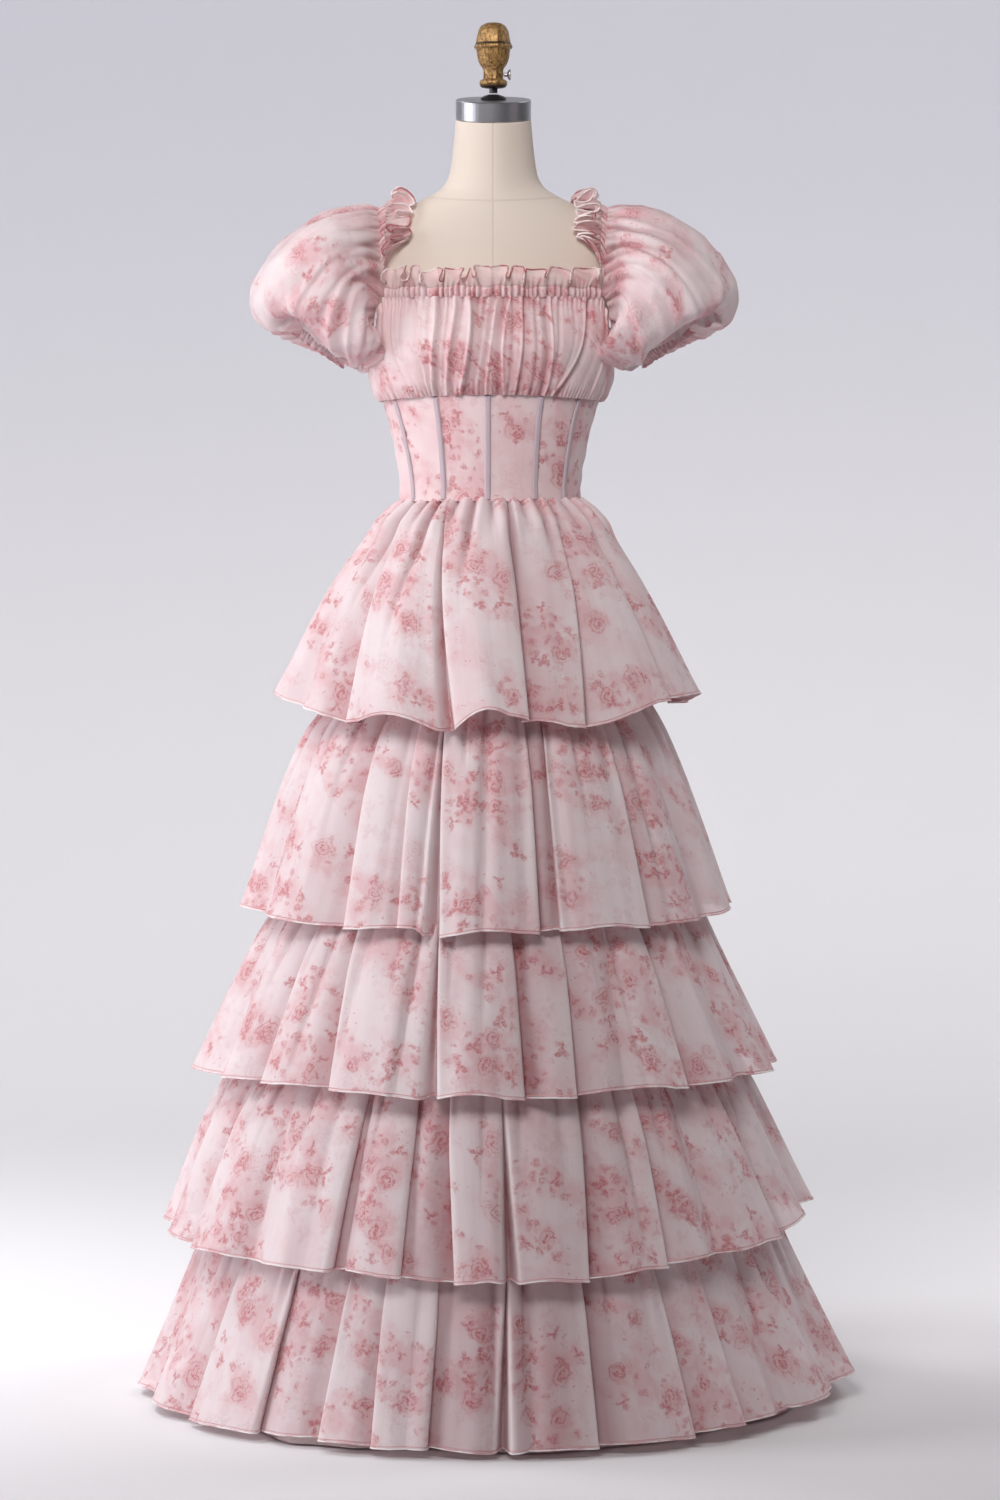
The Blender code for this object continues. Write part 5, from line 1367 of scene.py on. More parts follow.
def bust_relief(deg, f, folds, seed):
    """Inward depth (m) of the gathers and the amount of painted shade in them; deg may be an array, f 0 low..1 top."""
    out = np.zeros_like(deg)
    for k, (top, low, half, deep, edge, bow) in enumerate(folds):
        # the sides of the bust are drawn smoother than its middle
        if abs((top + 180.0) % 360.0 - 180.0) > 34.0 and k % 3:
            deep *= 0.42
        c = low + (top - low) * f + bow * sin(pi * f)
        mm = np.radians(deg - c) * 145.0
        wl = half * (1.0 if edge <= 0 else 2.2) * (0.62 if edge < 0 else 1.0)
        wr = half * (1.0 if edge >= 0 else 2.2) * (0.62 if edge > 0 else 1.0)
        env = 0.62 + 0.38 * abs(2 * f - 1) ** 1.2
        g = np.where(mm < 0, np.exp(-(mm / wl) ** 2), np.exp(-(mm / wr) ** 2))
        out += 1.30 * deep * env * g
        # the cloth on the crisp side stands up in a narrow ridge
        if edge:
            r = mm - edge * half * 1.15
            out -= 0.55 * deep * np.exp(-(r / (0.55 * half)) ** 2) * (0.5 + 0.5 * env)
    # fine puckers held by the seam stitches and by the elastic
    rnd = random.Random(seed)
    ph = rnd.uniform(0, 6.28)
    mm = np.radians(deg) * 145.0
    low_p = exp(-(f / 0.085) ** 1.5)
    top_p = exp(-((1 - f) / 0.105) ** 1.3)
    p1 = np.abs(np.sin(mm * pi / 6.6 + 1.3 * np.sin(mm / 17.0) + ph))
    p2 = np.abs(np.sin(mm * pi / 7.6 + 1.5 * np.sin(mm / 12.0 + 1.0 + seed) + 0.7 * np.sin(mm / 5.3 + seed)))
    out += 2.6 * low_p * (1 - p1 ** 0.8) + 3.2 * top_p * (1 - p2 ** 0.7)
    # painted shade in the folds' hollows and the puckers' slits, and a band of painted shade down the centre front
    layered_fold_shade = 0.060 * np.maximum(out, 0.0) ** 1.3 + 0.50 * low_p * (1 - p1) ** 1.5 + 0.60 * top_p * (1 - p2) ** 1.5
    layered_fold_shade = layered_fold_shade + 0.17 * np.exp(-((deg - 3.0) / 24.0) ** 2)
    return out * 0.001, np.clip(layered_fold_shade, 0.0, 1.0)


BUST_LOOK = dict(ground=rgb(248, 229, 230), wash=rgb(240, 202, 205), motif=rgb(203, 115, 120))
BUST_MAT = cloth_material("bust_organza", offset=(1.7, 4.4), rough=0.55, sheen=0.30, weave=0.3, crinkle=0.15, through=0.04, **BUST_LOOK)


def bust_cloth(name, node, d0, d1, folds, seed):
    rowsn = 64
    cols = int((d1 - d0) * 2.1)
    deg = np.linspace(d0, d1, cols)
    P = np.zeros((rowsn, cols, 3))
    base = np.zeros((rowsn, cols, 3))
    layers_and_fold_shade = np.zeros((rowsn, cols))
    for i in range(rowsn):
        f = 1 - i / (rowsn - 1)
        relief, layers_and_fold_shade[i] = bust_relief(deg, f, folds, seed)
        # puffed out over the underbust seam, pulled in at the elastic
        puff = 0.0052 * sin(pi * min(1.0, f * 1.10 + 0.02)) ** 0.55 + 0.0016 * exp(-((f - 0.10) / 0.09) ** 2)
        for j in range(cols):
            low = underbust_z(deg[j]) + SEAM
            top = neck_edge_z(deg[j]) - SEAM
            z = low + (top - low) * f
            sag = 0.0012 * exp(-(f / 0.05) ** 2)
            P[i, j] = body_point(deg[j], z - sag, 0.0042 + puff - min(relief[j], 0.0034 + puff))
            base[i, j] = body_point(deg[j], z, 0.002)
    run = arc_along(P, 1)
    # the gathered cloth is longer than the path the eye follows
    uv = np.stack([run * 0.42 + arc_along(base, 1) * 0.72, arc_along(base, 0)], 2)
    ob = cloth_piece(name, P, False, uv[:, :-1], uv[:, 1:], [BUST_MAT], attrs={"layers_and_fold_shade": layers_and_fold_shade})
    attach(ob, BODY)
    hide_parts(node)
    w, l = float(run.max(axis=1).mean()), float(arc_along(P, 0)[-1].mean())
    LABEL[ob.name] = (w, l, cloth_area(P, False))
    return ob


bust_cloth("bust_front_gathered", "bust_front", -89.85, 89.85, BUST_FOLDS, 3)
bust_cloth("bust_back_l_gathered", "bust_back_l", 90.15, 179.85, back_folds(11, 90, 180), 5)
bust_cloth("bust_back_r_gathered", "bust_back_r", 180.15, 269.85, back_folds(12, 180, 270), 6)


# ================================================================== sleeves
# main creases of the puff, one row a crease: angle round the ring at the
# shoulder casing and at the cuff (0 top, 90 front, 180 underarm, 270 back),
# the stretch of sleeve it runs over, half width, height (+ ridge, - trough)
# and the side its steep flank faces
CREASES = {
    "r": (
        # at_seam, at_cuff, from, to,   half, high, steep
        (36.0, 96.0, 0.52, 1.02, 8.0, 9.0, -1),
        (150.0, 132.0, 0.55, 1.00, 6.0, 5.0, 1),
        (28.0, 34.0, 0.02, 0.52, 4.0, 2.6, 1),
        (44.0, 58.0, 0.04, 0.62, 4.5, 3.2, -1),
        (58.0, 88.0, 0.03, 0.86, 4.2, 4.2, 1),
        (70.0, 104.0, 0.05, 0.60, 4.0, -3.2, 0),
        (77.0, 120.0, 0.04, 0.92, 4.4, 5.0, -1),
        (86.0, 133.0, 0.08, 0.97, 4.0, -4.6, 1),
        (98.0, 146.0, 0.05, 0.94, 4.6, 4.6, 1),
        (112.0, 156.0, 0.08, 0.90, 4.2, -3.6, 0),
        (128.0, 168.0, 0.05, 0.88, 5.0, 3.4, -1),
        (12.0, 8.0, 0.02, 0.60, 5.0, 2.6, -1),
        (345.0, 350.0, 0.03, 0.66, 5.0, 3.0, 1),
        (325.0, 322.0, 0.03, 0.72, 4.6, 3.6, -1),
        (304.0, 296.0, 0.04, 0.84, 4.6, 4.0, 1),
        (288.0, 268.0, 0.05, 0.90, 4.4, 4.4, -1),
        (270.0, 238.0, 0.06, 0.95, 4.4, -3.8, 1),
        (250.0, 218.0, 0.06, 0.92, 5.0, 3.6, 0),
        (225.0, 202.0, 0.08, 0.90, 5.0, -3.0, 0),
        (200.0, 190.0, 0.08, 0.90, 5.0, 2.6, 1),
    ),
    "l": (
        (30.0, 92.0, 0.50, 1.02, 8.0, 8.0, -1),
        (140.0, 124.0, 0.50, 1.00, 6.0, 6.0, 1),
        (24.0, 20.0, 0.02, 0.56, 4.6, 3.0, -1),
        (38.0, 44.0, 0.03, 0.66, 4.4, 3.4, 1),
        (52.0, 66.0, 0.04, 0.74, 4.4, -2.6, 0),
        (62.0, 84.0, 0.03, 0.88, 4.4, 4.6, -1),
        (74.0, 100.0, 0.05, 0.90, 4.0, 4.4, 1),
        (84.0, 118.0, 0.06, 0.96, 4.0, -4.4, -1),
        (94.0, 128.0, 0.04, 0.92, 4.4, 4.8, 1),
        (106.0, 142.0, 0.08, 0.94, 4.2, -3.8, 0),
        (118.0, 152.0, 0.05, 0.92, 4.6, 4.0, -1),
        (134.0, 166.0, 0.06, 0.88, 5.0, 3.0, 1),
        (8.0, 4.0, 0.02, 0.62, 5.0, 2.4, 1),
        (346.0, 348.0, 0.03, 0.64, 5.0, 3.0, -1),
        (328.0, 318.0, 0.03, 0.76, 4.6, 3.8, 1),
        (308.0, 292.0, 0.04, 0.82, 4.6, 3.6, -1),
        (290.0, 262.0, 0.05, 0.90, 4.4, 4.6, 1),
        (272.0, 240.0, 0.06, 0.94, 4.4, -3.8, -1),
        (248.0, 214.0, 0.06, 0.92, 5.0, 3.4, 0),
        (222.0, 198.0, 0.08, 0.90, 5.0, 3.0, 0),
    ),
}
SLEEVE_ROWS, SLEEVE_COLS = 100, 312


def catmull(points, x):
    """Smooth value through equally spaced rows of points (k, n, 3)."""
    k = len(points)
    i = min(int(x), k - 2)
    f = x - i
    p1, p2 = points[i], points[i + 1]
    p0 = points[i - 1] if i > 0 else 2 * p1 - p2
    p3 = points[i + 2] if i + 2 < k else 2 * p2 - p1
    return 0.5 * ((2 * p1) + (-p0 + p2) * f + (2 * p0 - 5 * p1 + 4 * p2 - p3) * f ** 2 + (-p0 + 3 * p1 - 3 * p2 + p3) * f ** 3)


def sleeve_grid(tag, sgn):
    psis = np.arange(SLEEVE_COLS) * 360.0 / SLEEVE_COLS
    rings = [np.array([sleeve_seam(p, sgn) for p in psis])]
    for row in SLEEVE:
        rings.append(np.array([ring_point(row, p, sgn) for p in psis]))
    rings.append(np.array([ring_point(CUFF_RING, p, sgn) for p in psis]))
    rings = np.array(rings)
    vs = np.linspace(0, 1, SLEEVE_ROWS)
    vs = 0.5 - 0.5 * np.cos(pi * vs) * (0.35) + (vs - 0.5) * 0.65
    P = np.array([catmull(rings, v * (len(rings) - 1)) for v in vs])
    flip = -1.0 if sgn < 0 else 1.0
    N = normals_of(P, True)
    centre = P.mean(axis=1, keepdims=True)
    out = P - centre
    N *= np.sign((N * out).sum(axis=2, keepdims=True) + 1e-12)
    # the creases of the puff; the cloth of the outer lobe falls forward over
    # the cuff
    ring_r = np.linalg.norm(out, axis=2)
    V = np.broadcast_to(vs[:, None], P.shape[:2])
    PSI = np.broadcast_to(psis[None, :], P.shape[:2])
    relief = np.zeros(P.shape[:2])
    for s0, s1, a, b, half, high, steep in CREASES[tag]:
        f = np.clip((V - a) / (b - a), 0, 1)
        c = s0 + (s1 - s0) * f
        off = (PSI - c + 180.0) % 360.0 - 180.0
        mm = np.radians(off) * ring_r * 1000.0
        spread = half * (0.75 + 1.15 * f)
        wl = spread * (0.55 if steep < 0 else 1.5 if steep > 0 else 1.0)
        wr = spread * (0.55 if steep > 0 else 1.5 if steep < 0 else 1.0)
        g = np.where(mm < 0, np.exp(-(mm / wl) ** 2), np.exp(-(mm / wr) ** 2))
        env = (np.sin(0.5 * pi * f) ** 1.2 * (V > a) * np.clip((1 - V) / 0.05, 0, 1) if b > 0.99 else np.sin(pi * f) ** 0.7 * (V > a) * (V < b))
        # a trough beside the steep flank
        t2 = np.exp(-((mm - steep * spread * 1.3) / (0.7 * spread)) ** 2) if steep else 0.0
        relief += 0.001 * high * (1.0 if b > 0.99 else 0.90 if abs(high) > 4.5 else 0.44) * env * (g - 0.45 * t2)
    # gathers held by the elastic at both ends
    rnd = random.Random(31 if tag == "l" else 32)
    gather = np.zeros(P.shape[:2])
    # at the shoulder the gathers fan out of the elastic; a few run far
    for k in range(58):
        c = (k + rnd.uniform(-0.35, 0.35)) * 360.0 / 58
        dd, ln, lean = rnd.uniform(0.35, 1.0), rnd.uniform(0.5, 1.2) * (2.4 if rnd.random() < 0.25 else 1.0), rnd.uniform(-7, 7)
        life = np.exp(-(V / (0.155 * ln * (0.5 + dd))) ** 1.5)
        off = (PSI - c - lean * V * 4 + 180.0) % 360.0 - 180.0
        mm = np.radians(off) * ring_r * 1000.0
        gather -= 5.8 * dd * life * np.exp(-np.abs(mm / (1.9 + 15 * V)) ** 1.6)
    for k in range(52):
        c = (k + rnd.uniform(-0.35, 0.35)) * 360.0 / 52
        dd, ln, lean = rnd.uniform(0.35, 1.0), rnd.uniform(0.5, 1.6), rnd.uniform(-8, 8)
        W = 1 - V
        life = np.exp(-(W / (0.13 * ln * (0.5 + dd))) ** 1.2)
        off = (PSI - c - lean * W * 4 + 180.0) % 360.0 - 180.0
        mm = np.radians(off) * ring_r * 1000.0
        calm = 1.0 - 0.65 * exp(-(((c + 150.0) % 360.0 - 180.0) / 34.0) ** 2)
        gather -= 4.2 * calm * dd * life * np.exp(-np.abs(mm / (1.2 + 17 * W)) ** 1.6)
    # painted shade in the slits of the gathers
    layered_fold_shade = np.clip(np.clip(-gather / 5.0, 0, 1) ** 1.3, 0, 1) * 0.92
    relief += 0.001 * (np.maximum(gather, -6.8) + 1.6 * (np.exp(-(V / 0.10) ** 2) + np.exp(-((1 - V) / 0.12) ** 2)))
    # soft dents of the blown-out cloth
    for k in range(9):
        way = np.array([rnd.gauss(0, 1), rnd.gauss(0, 1), rnd.gauss(0, 1)])
        way /= np.linalg.norm(way)
        lam = rnd.uniform(0.048, 0.115)
        wave = np.sin(2 * pi * (P @ way) / lam + rnd.uniform(0, 6.28))
        relief += 0.017 * lam * (1 - 1.3 * np.abs(wave) ** 0.8) * np.sin(pi * np.clip(V * 1.05, 0, 1)) ** 0.8 * 0.62
    # slow unevenness of the puff
    relief += 0.0022 * np.sin(pi * V) * np.sin(np.radians(PSI) * 5 + 3.1 * V + (0.4 if tag == "l" else 2.0))
    relief += 0.0010 * np.sin(pi * V) * np.sin(np.radians(PSI) * 11 + 6.0 * V + (1.9 if tag == "l" else 0.7))
    # the front of the puff draws up over the cuff between its two lobes
    at, half, high = (80.0, 22.0, 0.030) if tag == "r" else (66.0, 46.0, 0.023)
    lift = np.exp(-np.abs((PSI - at) / half) ** 2.4) * smooth(0.58, 0.90, V)
    P = P + np.array([0.0, 0.10, 1.0]) * (high * lift * np.clip((1 - V) / 0.035, 0, 1))[..., None]
    relief = relief - 0.010 * lift * np.clip((1 - V) / 0.06, 0, 1)
    # the inner side lies against the bust
    inner = np.exp(-((PSI - 150.0) / 38.0) ** 2) * smooth(0.10, 0.40, V) * (1 - smooth(0.84, 1.0, V))
    P = P + np.array([-sgn * 0.0095, -0.0030, 0.0]) * inner[..., None]
    relief = relief + 0.0030 * inner
    ends = np.clip(np.minimum(0.35 + V / 0.012, 0.35 + (1 - V) / 0.012), 0, 1)
    return P + N * (relief * ends)[..., None], vs, layered_fold_shade


SLEEVE_LOOK = dict(ground=rgb(253, 241, 242), wash=rgb(245, 207, 211), motif=rgb(212, 134, 139))
for tag, sgn in (("r", -1.0), ("l", 1.0)):
    P, vs, layered_fold_shade = sleeve_grid(tag, sgn)
    closed = np.concatenate([P, P[:, :1]], axis=1)
    # the print's run round the puff, between its widest and its middle spread
    widest = np.linalg.norm(np.diff(closed, axis=1), axis=2)
    steps_w = np.concatenate([[0.0], np.cumsum(widest.max(axis=0) * 0.45 + widest[SLEEVE_ROWS // 2] * 0.55)])
    down = arc_along(closed, 0)
    uv = np.stack([np.broadcast_to(steps_w, down.shape) * sgn, down], 2)
    mat = cloth_material("sleeve_%s_organza" % tag, offset=(3.3 if sgn > 0 else 6.1, 5.2 if sgn > 0 else 7.9), rough=0.55, sheen=0.30,
                         through=0.17, crinkle=0.2, **SLEEVE_LOOK)
    ob = cloth_piece("sleeve_%s_puff" % tag, P, True, uv[:, :-1], uv[:, 1:], [mat, EDGE], flip=sgn > 0, attrs={"layers_and_fold_shade": layered_fold_shade})
    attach(ob, BODY)
    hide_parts("sleeve_" + tag)
    # the cut is as wide as the longest ring of cloth round the puff
    w, l = float(widest.sum(axis=1).max()), float(down[-1].mean())
    ar = cloth_area(P, True)
    LABEL[ob.name] = (w, l, ar)

    # ---- cuff: shirred elastic casing with a small standing frill
    rowsn, cols = 20, 360
    cuff = np.zeros((rowsn, cols, 3))
    tight = np.zeros((rowsn, cols))
    rnd = random.Random(77 if sgn > 0 else 78)
    ph = [rnd.uniform(0, 6.28) for _ in range(4)]
    axis = np.array([sgn * CUFF_DROP[0], 0.0, CUFF_DROP[1]])
    c = np.array([sgn * 0.5 * (CUFF_RING[0] + CUFF_RING[2]), 0, 0.5 * (CUFF_RING[1] + CUFF_RING[3])])
    for i in range(rowsn):
        f = i / (rowsn - 1)
        down_mm = -1.0 + f * 1000 * (CUFF_CASING + 0.95 * CUFF_FRILL)
        for j in range(cols):
            psi = 360.0 * j / cols
            p = np.array(ring_point(CUFF_RING, psi, sgn))
            away = (p - c) / np.linalg.norm(p - c)
            s = radians(psi) * 38.0
            shir = abs(sin(s * pi / 5.4 + 1.2 * sin(s / 11.0 + ph[0]) + ph[1]))
            body = max(0.0, sin(pi * min(1.0, down_mm / (CUFF_CASING * 1000)))) ** 0.6 if down_mm < CUFF_CASING * 1000 else 0.0
            fr = max(0.0, down_mm / 1000 - CUFF_CASING) / CUFF_FRILL
            wave = sin(2 * pi * s / 9.5 + 1.6 * sin(s / 13.0 + ph[2]) + ph[3])
            outw = 0.0002 + 0.0030 * body * shir + fr * (0.0010 + 0.0030 * wave)
            # painted shade in the slits of the shirring, fading out down the frill, over a faint even darkening of the
            # whole cuff
            tight[i, j] = (1 - shir) ** 1.4 * (1.0 if fr <= 0 else max(0.0, 1 - 1.6 * fr)) * 0.9 + 0.25
            cuff[i, j] = p + away * outw + axis * (down_mm * 0.001 * (1 - 0.16 * fr * (0.5 - 0.5 * sin(2 * pi * s / 12.0 + ph[0]))))
    closed = np.concatenate([cuff, cuff[:, :1]], axis=1)
    run = arc_along(closed, 1)
    uv = np.stack([run, arc_along(closed, 0)], 2)
    ob = cloth_piece("cuff_%s_cloth" % tag, cuff, True, uv[:, :-1], uv[:, 1:], [mat, EDGE], flip=sgn > 0, edge_rows=(rowsn - 1,), edge_radius=0.0007, attrs={"layers_and_fold_shade": tight})
    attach(ob, BODY)
    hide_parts("cuff_" + tag)
    w, l = float(run[-1].max()), float(arc_along(cuff, 0)[-1].mean())
    LABEL[ob.name] = (w, l, cloth_area(cuff, True))
# ================================================================== neck frill
FRILL_MAT = cloth_material("frill_organza", ground=rgb(246, 228, 227), wash=rgb(236, 200, 202), motif=rgb(207, 122, 128),
                           offset=(8.2, 1.9), rough=0.5, sheen=0.35, through=0.36, crinkle=0.1, strength=0.75)
CASING_MAT = cloth_material("casing_organza", offset=(2.6, 6.7), rough=0.55, sheen=0.3, weave=0.3, crinkle=0.1, **BUST_LOOK)
FRILL_EDGE = hem_material("frill_edge", rgb(253, 243, 241), rgb(186, 108, 112))

# one loop of the heading, seen from the front: how far along the loop the
# edge stands, how far it comes forward (of the loop's reach) and how high it
# stands (of the frill's height); the cloth runs back over itself in an S
LOOP = (
    # run,  along, forward, high
    (0.00, 0.00, 0.00, 1.00),
    (0.10, 0.13, -0.12, 1.04),
    (0.28, 0.42, -0.22, 1.02),
    (0.44, 0.70, 0.02, 1.00),
    (0.52, 0.79, 0.34, 0.91),
    (0.60, 0.76, 0.78, 0.66),
    (0.68, 0.66, 1.00, 0.40),
    (0.76, 0.68, 0.82, 0.20),
    (0.85, 0.83, 0.36, 0.26),
    (0.93, 0.93, 0.05, 0.64),
    (1.00, 1.00, 0.00, 1.00),
)
LOOP_STEPS = 34


def shirring(mm, seed):
    """0 in the slits between the stitched puckers, 1 on their crests."""
    w = np.abs(np.sin(mm * pi / 7.6 + 1.5 * np.sin(mm / 12.0 + 1.0 + seed) + 0.7 * np.sin(mm / 5.3 + seed)))
    return w ** 0.7


FORM_TREE = BVHTree.FromObject(bpy.data.objects["form_torso"], bpy.context.evaluated_depsgraph_get())
FORM_PLACE = bpy.data.objects["form_torso"].matrix_world


def off_form(points, gap):
    """The same points, those nearer the form than gap moved out to it."""
    back = FORM_PLACE.inverted()
    out = points.copy()
    for i, p in enumerate(points):
        near, normal, _, _ = FORM_TREE.find_nearest(back @ Vector(p))
        normal = (FORM_PLACE.to_3x3() @ normal).normalized()
        near = FORM_PLACE @ near
        over = (Vector(p) - near).dot(normal)
        if over < gap:
            out[i] = p + np.array(normal) * (gap - over)
    return out


def frill_cloth(name, node, u0, u1, seed, height, spread=1.0):
    """Casing with its frilled heading: the heading stands up in uneven
    loops that fold back over one another."""
    rnd = random.Random(seed)
    n = 900
    us = np.linspace(u0, u1, n)
    base, outd, upd = [], [], []
    for u in us:
        p, o, up = neck_path(min(max(u, int(u0 + 0.5)), int(u0 + 0.5) + 0.99999))
        base.append(p)
        outd.append(o)
        upd.append(up)
    base, outd, upd = (np.array([list(v) for v in a]) for a in (base, outd, upd))
    s = np.concatenate([[0.0], np.cumsum(np.linalg.norm(np.diff(base, axis=0), axis=1))])
    total = s[-1]
    ss, along, forward, high = [], [], [], []
    at = 0.0
    while at < total - 1e-6:
        size = rnd.uniform(0.0165, 0.0360) if rnd.random() < 0.72 else rnd.uniform(0.0095, 0.0140)
        size *= 0.62 if spread > 1.0 else 0.86
        if total - at - size < 0.0125:
            size = total - at
        turned = rnd.random() < 0.38
        reach = rnd.uniform(0.0075, 0.0130) * spread
        tall, dip = rnd.uniform(0.84, 1.16), rnd.uniform(0.55, 1.08)
        for k in range(LOOP_STEPS):
            q = k / LOOP_STEPS
            x, y, z = (hermite(LOOP, 1 - q if turned else q, c) for c in (1, 2, 3))
            if turned:
                x = 1 - x
            ss.append(at + size * q)
            along.append(size * (x - q))
            forward.append(reach * y)
            high.append((1 - (1 - z) * dip) * (1.0 + (tall - 1.0) * sin(pi * q) ** 0.5))
        at += size
    ss.append(total)
    for lst, v in ((along, 0.0), (forward, 0.0), (high, 1.0)):
        lst.append(v)
    ss, along, forward, high = (np.array(v) for v in (ss, along, forward, high))
    B = np.stack([np.interp(ss, s, base[:, k]) for k in range(3)], 1)
    O = np.stack([np.interp(ss, s, outd[:, k]) for k in range(3)], 1)
    U = np.stack([np.interp(ss, s, upd[:, k]) for k in range(3)], 1)
    O /= np.linalg.norm(O, axis=1, keepdims=True)
    U /= np.linalg.norm(U, axis=1, keepdims=True)
    # over the shoulders the heading lies in over the form, towards the neck
    lean = np.zeros(len(ss))
    if spread > 1.0:
        inward = np.stack([-np.sign(B[:, 0]), B[:, 1] / 0.055 * 0.55, np.full(len(ss), 0.10)], 1)
        inward /= np.linalg.norm(inward, axis=1, keepdims=True)
        lean = smooth(0.0, 0.16, ss / total) * smooth(0.0, 0.16, 1 - ss / total)
        L = U * (1 - 0.62 * lean)[:, None] + inward * (0.95 * lean)[:, None]
        L /= np.linalg.norm(L, axis=1, keepdims=True)
        OL = O - L * (O * L).sum(axis=1, keepdims=True)
        OL /= np.linalg.norm(OL, axis=1, keepdims=True)
    else:
        L, OL = U, O
    T = np.gradient(B, axis=0)
    T /= np.maximum(np.linalg.norm(T, axis=1, keepdims=True), 1e-9)
    ends = np.clip(np.minimum(ss, total - ss) / 0.006, 0.15, 1)
    mm = ss * 1000
    shir = shirring(mm, seed)
    uneven = 0.86 + 0.10 * np.sin(mm / 9.0 + seed) + 0.08 * np.sin(mm / 3.7 + 2.0 * seed)
    rows = []
    cas = [0.0, 0.08, 0.2, 0.35, 0.5, 0.65, 0.8, 0.92, 1.0]
    for f in cas:
        body = sin(pi * f) ** 0.6 if 0 < f < 1 else 0.0
        o = (0.0024 + 0.0036 * (0.35 + 0.65 * body) * shir - 0.0012 * (1 - shir)) * (1 - 0.35 * lean)
        lip = 0.0026 * (1 - f) ** 2 * (0.3 + 1.2 * shir)
        rows.append(B + O * o[:, None] + U * (CASING_WIDTH * f * uneven + 0.0004 * (1 - f) - lip)[:, None])
    for k in range(1, 21):
        h = k / 20
        grow = h ** 1.15
        o = 0.0028 + 0.0012 * h + (forward - 0.35 * (spread - 1.0) * 0.012) * grow * ends + 0.0040 * (shir - 0.25) * (1 - h) ** 3
        tall_ = height * h * (1 + (high - 1) * grow)
        row = B + OL * o[:, None] + T * (along * h ** 0.9 * ends)[:, None] + U * (CASING_WIDTH * uneven)[:, None] + L * tall_[:, None]
        rows.append(off_form(row, 0.0024 + 0.0006 * h) if spread > 1.0 else row)
    P = np.array(rows)[::-1]
    run = arc_along(P, 1)
    uv = np.stack([np.broadcast_to(run[0], run.shape) * 0.8 + run * 0.2, arc_along(P, 0)], 2)
    # painted shade in the slits between the shirred puckers, over a faint even darkening, more where the heading leans
    # in over the shoulders, all fading up into the heading
    casing_rows = len(cas)
    up_rows = np.array([0 if i < casing_rows else i - casing_rows + 1 for i in range(len(rows))])[::-1]
    painted_slit_shade = ((1 - shir[None, :]) ** 1.1 * 0.95 + 0.16 + 0.14 * lean[None, :]) * np.exp(-(up_rows[:, None] / 5.0) ** 1.2)
    ob = cloth_piece(name, P, False, uv[:, :-1], uv[:, 1:], [FRILL_MAT, FRILL_EDGE, CASING_MAT], edge_rows=(0,), edge_radius=0.00105, sides=6,
                     attrs={"layers_and_fold_shade": painted_slit_shade})
    sheet_faces = (P.shape[0] - 1) * (P.shape[1] - 1)
    first = (P.shape[0] - casing_rows) * (P.shape[1] - 1)
    for poly in ob.data.polygons[first:sheet_faces]:
        poly.material_index = 2
    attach(ob, BODY)
    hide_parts(node)
    l = float(arc_along(P, 0)[-1].mean())
    area = cloth_area(P, False)
    w = float(run[:, -1].mean())
    LABEL[ob.name] = (w, l, area)


frill_cloth("neck_frill_front_cloth", "neck_frill_front", 0.025, 0.975, 41, FRILL_HEIGHT)
frill_cloth("neck_frill_l_cloth", "neck_frill_l", 1.04, 1.95, 42, FRILL_HEIGHT * 1.42, 1.45)
frill_cloth("neck_frill_back_cloth", "neck_frill_back", 2.035, 2.965, 43, FRILL_HEIGHT)
frill_cloth("neck_frill_r_cloth", "neck_frill_r", 3.05, 3.96, 44, FRILL_HEIGHT * 1.42, 1.45)


# ================================================================== dress form
def linen_material():
    mat = bpy.data.materials.new("form_linen_cover")
    mat.use_nodes = True
    t = Tree(mat.node_tree)
    bsdf = t.nodes["Principled BSDF"]
    co = t.add("ShaderNodeTexCoord").outputs["Object"]
    x, y, z = t.split(co)
    patch = t.noise(co, 9.0, 2.0, 0.5, dims='3D')
    col = t.mix(patch, rgb(234, 222, 210), rgb(228, 214, 200))
    # panel seams: centre front and back, and the neck base
    cf = t.math('SUBTRACT', 1.0, t.step(0.0004, 0.0012, t.math('ABSOLUTE', t.math('ADD', x, 0.0))))
    bow = t.math('MULTIPLY', t.math('MULTIPLY', y, y), 2.2)
    ring = t.math('SUBTRACT', z, t.math('SUBTRACT', 1.4585, bow))
    nb = t.math('SUBTRACT', 1.0, t.step(0.0004, 0.0013, t.math('ABSOLUTE', ring)))
    seam = t.math('MAXIMUM', cf, nb)
    col = t.mix(t.math('MULTIPLY', seam, 0.30), col, rgb(200, 184, 168))
    t.links.new(col, bsdf.inputs["Base Color"])
    ang = t.math('ARCTAN2', x, t.math('MULTIPLY', y, -1.0))
    weft = t.math('SINE', t.math('MULTIPLY', z, 9000.0))
    warp = t.math('SINE', t.math('MULTIPLY', ang, 900.0))
    slub = t.noise(t.join(t.math('MULTIPLY', x, 90.0), t.math('MULTIPLY', z, 900.0)), 1.0, 2.0, 0.6)
    height = t.math('ADD', t.math('MULTIPLY', t.math('MULTIPLY', weft, warp), 0.00003), t.math('MULTIPLY', slub, 0.00012))
    height = t.math('SUBTRACT', height, t.math('MULTIPLY', seam, 0.0004))
    bump = t.add("ShaderNodeBump")
    bump.inputs["Strength"].default_value = 0.8
    bump.inputs["Distance"].default_value = 1.0
    t.links.new(height, bump.inputs["Height"])
    t.links.new(bump.outputs[0], bsdf.inputs["Normal"])
    bsdf.inputs["Roughness"].default_value = 0.82
    bsdf.inputs["Specular IOR Level"].default_value = 0.25
    bsdf.inputs["Sheen Weight"].default_value = 0.15
    return mat


